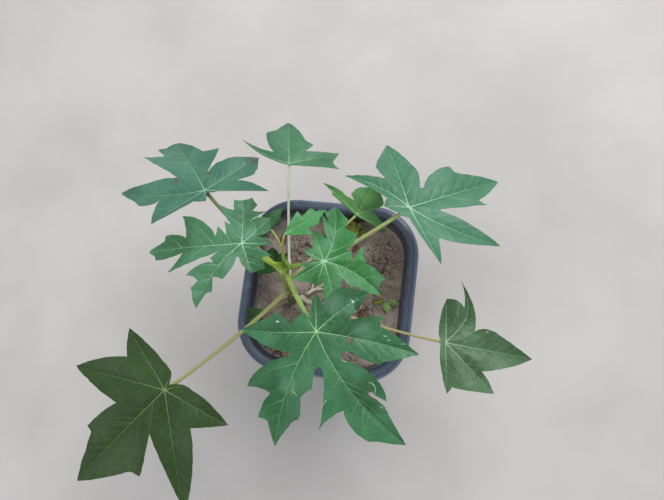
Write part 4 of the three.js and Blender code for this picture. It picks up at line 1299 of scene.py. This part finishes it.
def pot():
    """Closed skin of the pot, from its foot up the wall, over the lip and down inside to the floor."""
    ledge = POT_HEIGHT - LEDGE_DROP
    under = POT_HEIGHT - LIP_DEPTH
    foot, low, high = FOOT_ROUND[-1][0], FLOOR + WALL_FOOT, ledge + LEDGE_ROUND[-1][0]
    outside = [wall_ring(z, inset) for z, inset in FOOT_ROUND]
    outside += [wall_ring(foot + (under - foot) * k / 8, 0) for k in range(1, 9)]
    outside += [rim_ring(under + z, inset) for z, inset in LIP_FOOT_ROUND]
    # Each row: a ring, its share of the pale band on the inner wall, and its weight of painted highlight on
    # the lip
    rows = [(ring, 0.0, 0.0) for ring in outside]
    for k in range(8):
        angle = math.pi / 2 * k / 8
        rise = math.sin(angle)
        ring = rim_ring(POT_HEIGHT - LIP_CREST + LIP_CREST * rise, LIP_CREST - LIP_CREST * math.cos(angle))
        rows.append((ring, 0.0, 1 - 0.75 * rise ** 4))
    for k in range(10):
        angle = math.pi / 2 * k / 9
        fall = math.cos(angle)
        inward = LIP_CREST + (LIP_WIDTH - LIP_CREST) * math.sin(angle)
        ring = rim_ring(POT_HEIGHT - LIP_FALL + LIP_FALL * fall, inward)
        rows.append((ring, 1.0 if k > 4 else 0.0, 0.55 * fall ** 2))
    inside_rings = [rim_ring(ledge + z, LIP_WIDTH + inset) for z, inset in LEDGE_ROUND]
    inside_rings += [wall_ring(high + (low - high) * k / 6, WALL) for k in range(1, 7)]
    inside_rings += [wall_ring(FLOOR + z, WALL + inset) for z, inset in FLOOR_ROUND]
    rows += [(ring, 1.0, 0.0) for ring in inside_rings]
    # The pale band weighs most on the -X side of the pot: painted light on the left inner wall, over the
    # real dust
    dust_and_light_band = [part * min(1, max(0.35, -p[0] / 60)) for ring, part, painted_lip_highlight in rows for p in ring] + [0.0, 1.0]
    painted_lip_highlights = [painted_lip_highlight for ring, part, painted_lip_highlight in rows for p in ring] + [0.0, 0.0]
    skin = loft([ring for ring, part, painted_lip_highlight in rows])
    add_mesh("planter", skin, pot_paint(), ["pot"], 40, {"inside": dust_and_light_band, "painted_lip_highlight": painted_lip_highlights})


def soil_outline():
    """The soil's edge at its level, and the foot of the pot's inner wall."""
    rise, inset = LEDGE_ROUND[-1]
    top, foot = POT_HEIGHT - LEDGE_DROP + rise, FLOOR + WALL_FOOT
    upper = np.array(rim_ring(top, LIP_WIDTH + inset))
    lower = np.array(wall_ring(foot, WALL))
    level = lower + (upper - lower) * (SOIL_LEVEL - foot) / (top - foot)
    return level[:, :2] * SOIL_SHARE, lower[:, :2] * SOIL_SHARE


def crumbliness(x, y):
    """How crumbly the soil is there, 0 to 1."""
    most = max(math.exp(-(((x - cx) ** 2 + (y - cy) ** 2) / r ** 2)) for cx, cy, r in CRUMBLY)
    return min(1, max(0, 1.2 * most + 0.35 * rough((x, y, 31), 20)))


def crack_shade(x, y):
    """How dark the painted shade is there, in the lowest gaps between clods, 0 to 1."""
    wide = abs(rough((x, y, 14), 10)) / 0.07
    narrow = abs(rough((x, y, 21), 5)) / 0.09
    return crumbliness(x, y) * math.exp(-min(wide, narrow) ** 2)


SOIL_FIELDS = {"crumbly": crumbliness, "crack_shade": crack_shade}


def soil_rise(x, y):
    """Height of the soil's surface over its level: low heaps, clods and crumbs."""
    broad = 2.2 * rough((x, y, 5), 60) + 1.2 * rough((x, y, 9), 24)
    patch = 0.18 + 0.82 * crumbliness(x, y)
    clods = 2.3 * abs(rough((x, y, 14), 10)) + 1.9 * abs(rough((x, y, 21), 5)) + 0.9 * rough((x, y, 27), 2.4)
    stem_far = math.hypot(x - STEM_FOOT[0], y - STEM_FOOT[1])
    mound = 2.0 * math.exp(-(stem_far / 14) ** 2)
    return broad + patch * clods + mound - 0.6


def soil():
    """The block of soil, with an uneven top that rises a little along its edge."""
    outline, lower = soil_outline()
    keep = np.linalg.norm(outline - np.roll(outline, 1, axis=0), axis=1) > 1e-3
    outline, lower = outline[keep], lower[keep]
    rim = dense(np.vstack([outline, outline[:1]]), 2.0)[:-1]
    flat, faces = cut_sheet(rim, [], [], SOIL_STEP)
    edge = near(flat, rim)
    rise = np.array([soil_rise(x, y) for x, y in flat]) * np.minimum(1, edge / 3) + 1.6 * np.exp(-edge / 5)
    top = np.column_stack([flat, SOIL_LEVEL + rise])
    scale = np.linalg.norm(lower, axis=1).mean() / np.linalg.norm(outline, axis=1).mean()
    base = np.column_stack([flat * scale, np.full(len(flat), FLOOR + 4.0)])
    skin = (np.vstack([top, base]), two_sided(faces, len(flat)))
    fields = {field: np.tile([rule(x, y) for x, y in flat], 2) for field, rule in SOIL_FIELDS.items()}
    add_mesh("earth", skin, SOIL_PAINT, ["soil"], fields=fields)


def lump(centre, size, seed):
    """Uneven small clod."""
    rings = []
    for level in range(5):
        angle = math.pi * (0.08 + 0.84 * level / 4)
        ring = []
        for turn in turns(7):
            turn += level * 0.4
            wide = math.sin(angle)
            p = np.array([wide * math.cos(turn), wide * math.sin(turn), -0.75 * math.cos(angle)])
            ring.append(np.array(centre) + p * size * (1 + 0.55 * rough(p * 2 + seed, 1.4)))
        rings.append(ring)
    return loft(rings)


def on_soil(x, y):
    """Height of the soil's top at a place."""
    return SOIL_LEVEL + soil_rise(x, y)


def crumbs():
    """Loose crumbs over the top of the soil."""
    heap = Heap()
    outline = soil_outline()[0]
    for k in range(CRUMB_COUNT):
        x, y = rng.uniform(-CRUMB_REACH, CRUMB_REACH), rng.uniform(-CRUMB_REACH, CRUMB_REACH)
        size = 0.5 + 2.2 * rng.random() ** 3
        crowd = crumbliness(x, y)
        if rng.random() > 0.16 + 0.84 * crowd or not inside([(x, y)], outline * 0.965)[0]:
            continue
        if math.hypot(x - STEM_FOOT[0], y - STEM_FOOT[1]) < 8:
            continue
        heap.add(lump((x, y, on_soil(x, y) + 0.15 * size), size, k * 0.37), crumbly=crowd)
    heap.piece("crumbs", SOIL_PAINT, "soil", crease=80)


def strand(a, b, bow, radius, seed):
    """Thin dry strand lying on the soil."""
    t = np.linspace(0, 1, 10)
    side = unit(np.array([-(b[1] - a[1]), b[0] - a[0]]))
    flat = between(a, b, t) + side * (bow * 4 * t * (1 - t))[:, None]
    lift = radius * 0.7 + 0.5 * np.sin(t * math.pi)
    line = np.column_stack([flat, [on_soil(x, y) for x, y in flat] + lift])
    radii = radius * (1 - 0.5 * t) * (1 + 0.12 * np.array([rough((share * 9, seed, 1), 1.5) for share in t]))
    return tube(line, radii, STRAND_SIDES)


def litter():
    """Cut stub and forked twig on the soil, dry strands and a few threads."""
    t = np.linspace(0, 1, 12)
    for name, radius, rows in (("stub", STUB_RADIUS, STUB_ROWS), ("twig", TWIG_RADIUS, TWIG_ROWS)):
        heap = Heap()
        for a, b, share, lift in rows:
            rise = SOIL_LEVEL + lift + radius * share + 0.6 * np.sin(t * math.pi)
            radii = radius * share * (1.12 - 0.3 * t + 0.1 * np.sin(t * 9))
            heap.add(tube(np.column_stack([between(a, b, t), rise]), radii, 12))
        heap.piece(name, DRY["pale_dry"], "litter", [f"litter_{name}"])
    rest = Heap()
    for k in range(STRAW_COUNT):
        x, y = rng.uniform(-STRAW_SPREAD, STRAW_SPREAD), rng.uniform(-STRAW_SPREAD, STRAW_SPREAD)
        turn, length = rng.uniform(0, math.pi * 2), rng.uniform(6, 22)
        end = (x + length * math.cos(turn), y + length * math.sin(turn))
        if max(abs(end[0]), abs(end[1])) > STRAW_REACH:
            continue
        rest.add(strand((x, y), end, rng.uniform(-2, 2), rng.uniform(0.25, 0.5), k))
    for a, b, radius in THREADS:
        line = between(a, b, t)
        line[:, 2] += 1.5 * np.sin(t * math.pi)
        rest.add(tube(line, radius * (1.1 - 0.5 * t), STRAND_SIDES))
    rest.piece("straws", DRY["straw_dry"], "litter")


def curled_flake(centre, length, width, heading, curl, seed):
    """Small dry leaf piece, curled across its width, as a closed thin sheet."""
    rows, cols = 9, 7
    turn = math.radians(heading)
    top = []
    for i in range(rows):
        u = i / (rows - 1)
        wide = width * math.sin(math.pi * (0.08 + 0.84 * u)) * (1 + 0.3 * rough((u * 5, seed, 0), 1.5))
        for j in range(cols):
            v = 2 * j / (cols - 1) - 1
            x, y = length * (u - 0.5), wide * v
            z = curl * width * v * v + 0.8 * rough((x, y, seed), 3) + 0.12 * length * math.sin(3 * u + seed)
            top.append((x * math.cos(turn) - y * math.sin(turn), x * math.sin(turn) + y * math.cos(turn), z))
    top = np.array(top) + np.array(centre)
    faces = []
    for i in range(rows - 1):
        for j in range(cols - 1):
            a = i * cols + j
            faces += [(a, a + cols, a + cols + 1), (a, a + cols + 1, a + 1)]
    return np.vstack([top, top - [0, 0, FLAKE_THICK]]), two_sided(faces, len(top))


def flakes():
    """Brown flakes on the soil, and the small curled leaves."""
    brown = Heap()
    for x, y, length, width, heading, curl in BROWN_FLAKES:
        brown.add(curled_flake((x, y, on_soil(x, y) + 1.6), length, width, heading, curl, x * 0.3))
    for k in range(FLAKE_COUNT):
        x, y = rng.uniform(-FLAKE_SPREAD, FLAKE_SPREAD), rng.uniform(-FLAKE_SPREAD, FLAKE_SPREAD)
        size = rng.uniform(2, 5)
        heading, curl = rng.uniform(0, 360), rng.uniform(0.1, 0.8)
        brown.add(curled_flake((x, y, on_soil(x, y) + 0.8), size, size * 0.3, heading, curl, k * 1.3))
    brown.piece("flakes", DRY["brown_dry"], "litter")
    for name, rows in SMALL_LEAVES.items():
        heap = Heap()
        for x, y, z, length, width, heading, curl in rows:
            heap.add(curled_flake((x, y, z), length, width, heading, curl, x * 0.2))
        heap.piece(name, DRY[name], "dark_leaf" if name == "sprig" else "litter")


def blade_bar(blade, line, radius):
    """Thin closed bar lying on the upper face of a blade."""
    line = dense(line, 0.8)
    t = np.linspace(-1, 1, len(line))
    return tube(blade.on_top(line, 0.2 * radius), radius * (1.1 - 0.7 * t * t), 6)


def fleck(blade, x, y, half_length, half_width, turn):
    """Flat uneven fleck lying on the upper face of a blade."""
    t = 2 * math.pi * np.arange(14) / 14
    uneven = 1 + 0.5 * rough_at(2 * np.stack([np.cos(t), np.sin(t)], 1), 1.3, x)
    flat = turned(np.stack([half_length * np.cos(t) * uneven, half_width * np.sin(t) * uneven], 1), turn)
    rings = []
    for share, lift in ((1.0, -0.1), (0.98, 0.12), (0.7, 0.26), (0.25, 0.3)):
        rings.append(blade.on_top(flat * share + [x, y], lift))
    return loft(rings)


def marks(blade):
    """White flecks, dry edges and scratches on the front leaf."""
    heap, pale = Heap(), Heap()
    for row in FLECKS:
        heap.add(fleck(blade, *row))
    for line in SCRATCHES:
        pale.add(blade_bar(blade, line, SCRATCH_RADIUS))
    heap.piece("flecks", DRY["chalk"], "litter", crease=80)
    pale.piece("scratches", DRY["pale_green"], "litter", crease=80)


# Camera, light and floor

def camera_turn():
    """Camera directions in the world, from the vanishing point of the vertical and the roll."""
    wide, tall = IMAGE_SIZE
    down = unit(np.array([NADIR_PX[0] - wide / 2, tall / 2 - NADIR_PX[1], -FOCAL_PX]))
    up = -down
    right = unit(np.array([1.0, 0, 0]) - up * up[0])
    level = np.array([right, np.cross(up, right), up])
    c, s = math.cos(math.radians(CAMERA_ROLL)), math.sin(math.radians(CAMERA_ROLL))
    return np.array([[c, s, 0], [-s, c, 0], [0, 0, 1]]) @ level


def set_camera():
    """The camera fitted to the photograph."""
    data = bpy.data.cameras.new("camera")
    data.sensor_fit = "HORIZONTAL"
    data.sensor_width = SENSOR_WIDTH
    data.lens = FOCAL_PX * SENSOR_WIDTH / IMAGE_SIZE[0]
    data.clip_start, data.clip_end = 0.02, 20
    camera = add_object("camera", data)
    camera.location = Vector(CAMERA_AT) * MM
    camera.rotation_mode = "QUATERNION"
    camera.rotation_quaternion = Matrix(camera_turn().tolist()).to_quaternion()
    bpy.context.scene.camera = camera


def area_light(name, at, size, power, colour):
    """Round lamp that faces the origin, in metres and watts."""
    data = bpy.data.lights.new(name, "AREA")
    data.shape = "DISK"
    data.size = size
    data.energy = power
    data.color = colour
    lamp = add_object(name, data)
    lamp.location = at
    lamp.rotation_mode = "QUATERNION"
    lamp.rotation_quaternion = (-Vector(at)).to_track_quat("-Z", "Y")


def set_light():
    """Soft sky and two lamps."""
    world = bpy.data.worlds.new("sky")
    world.use_nodes = True
    sky = world.node_tree.nodes["Background"]
    sky.inputs["Color"].default_value = (0.86, 0.93, 1.0, 1.0)
    sky.inputs["Strength"].default_value = 0.62
    bpy.context.scene.world = world
    area_light("overhead", (0.7, 1.6, 2.0), 1.8, 44, (0.98, 0.99, 1.0))
    area_light("side", (-1.8, -1.2, 2.0), 1.6, 10, (1.0, 0.98, 0.95))
    bpy.context.scene.view_settings.view_transform = "Standard"


def set_floor():
    """Pale floor, for the picture alone."""
    mesh = bpy.data.meshes.new("floor")
    corners = [(x * FLOOR_HALF, y * FLOOR_HALF, 0) for x, y in ((-1, -1), (1, -1), (1, 1), (-1, 1))]
    mesh.from_pydata(corners, [], [(0, 1, 2, 3)])
    paint = Paint("floor_pale")
    paint.colour = paint.mix(paint.ramp(paint.noise(5, 3), 0.3, 0.7), (198, 190, 186), (208, 201, 197))
    mesh.materials.append(paint.finish(0.85))
    floor = add_object("floor", mesh)


def plant_leaf(name, leaf):
    """Blade, veins, stalk and hub of one leaf."""
    dark, light, vein, near_stem, near_leaf = LOOKS[name]
    slot = LEAF_SLOTS.get(name, "leaf")
    blade = Blade(name, leaf)
    ribs = vein_paint(name, light, vein)
    leaf_blade(name, blade, leaf_paint(name, dark, light, vein))
    leaf_veins(name, blade, ribs, slot)
    stalk_slot = "pale_stalk" if name == "top" else "stalk"
    leaf_stalk(name, leaf, stalk_paint(name, near_stem, near_leaf), stalk_slot)
    hub_cap(name, blade, ribs, slot)
    if name == "front":
        marks(blade)


set_camera()
set_light()
set_floor()
pot()
soil()
crumbs()
litter()
flakes()
stem()
apex()
for leaf_name, leaf_row in LEAVES.items():
    plant_leaf(leaf_name, leaf_row)
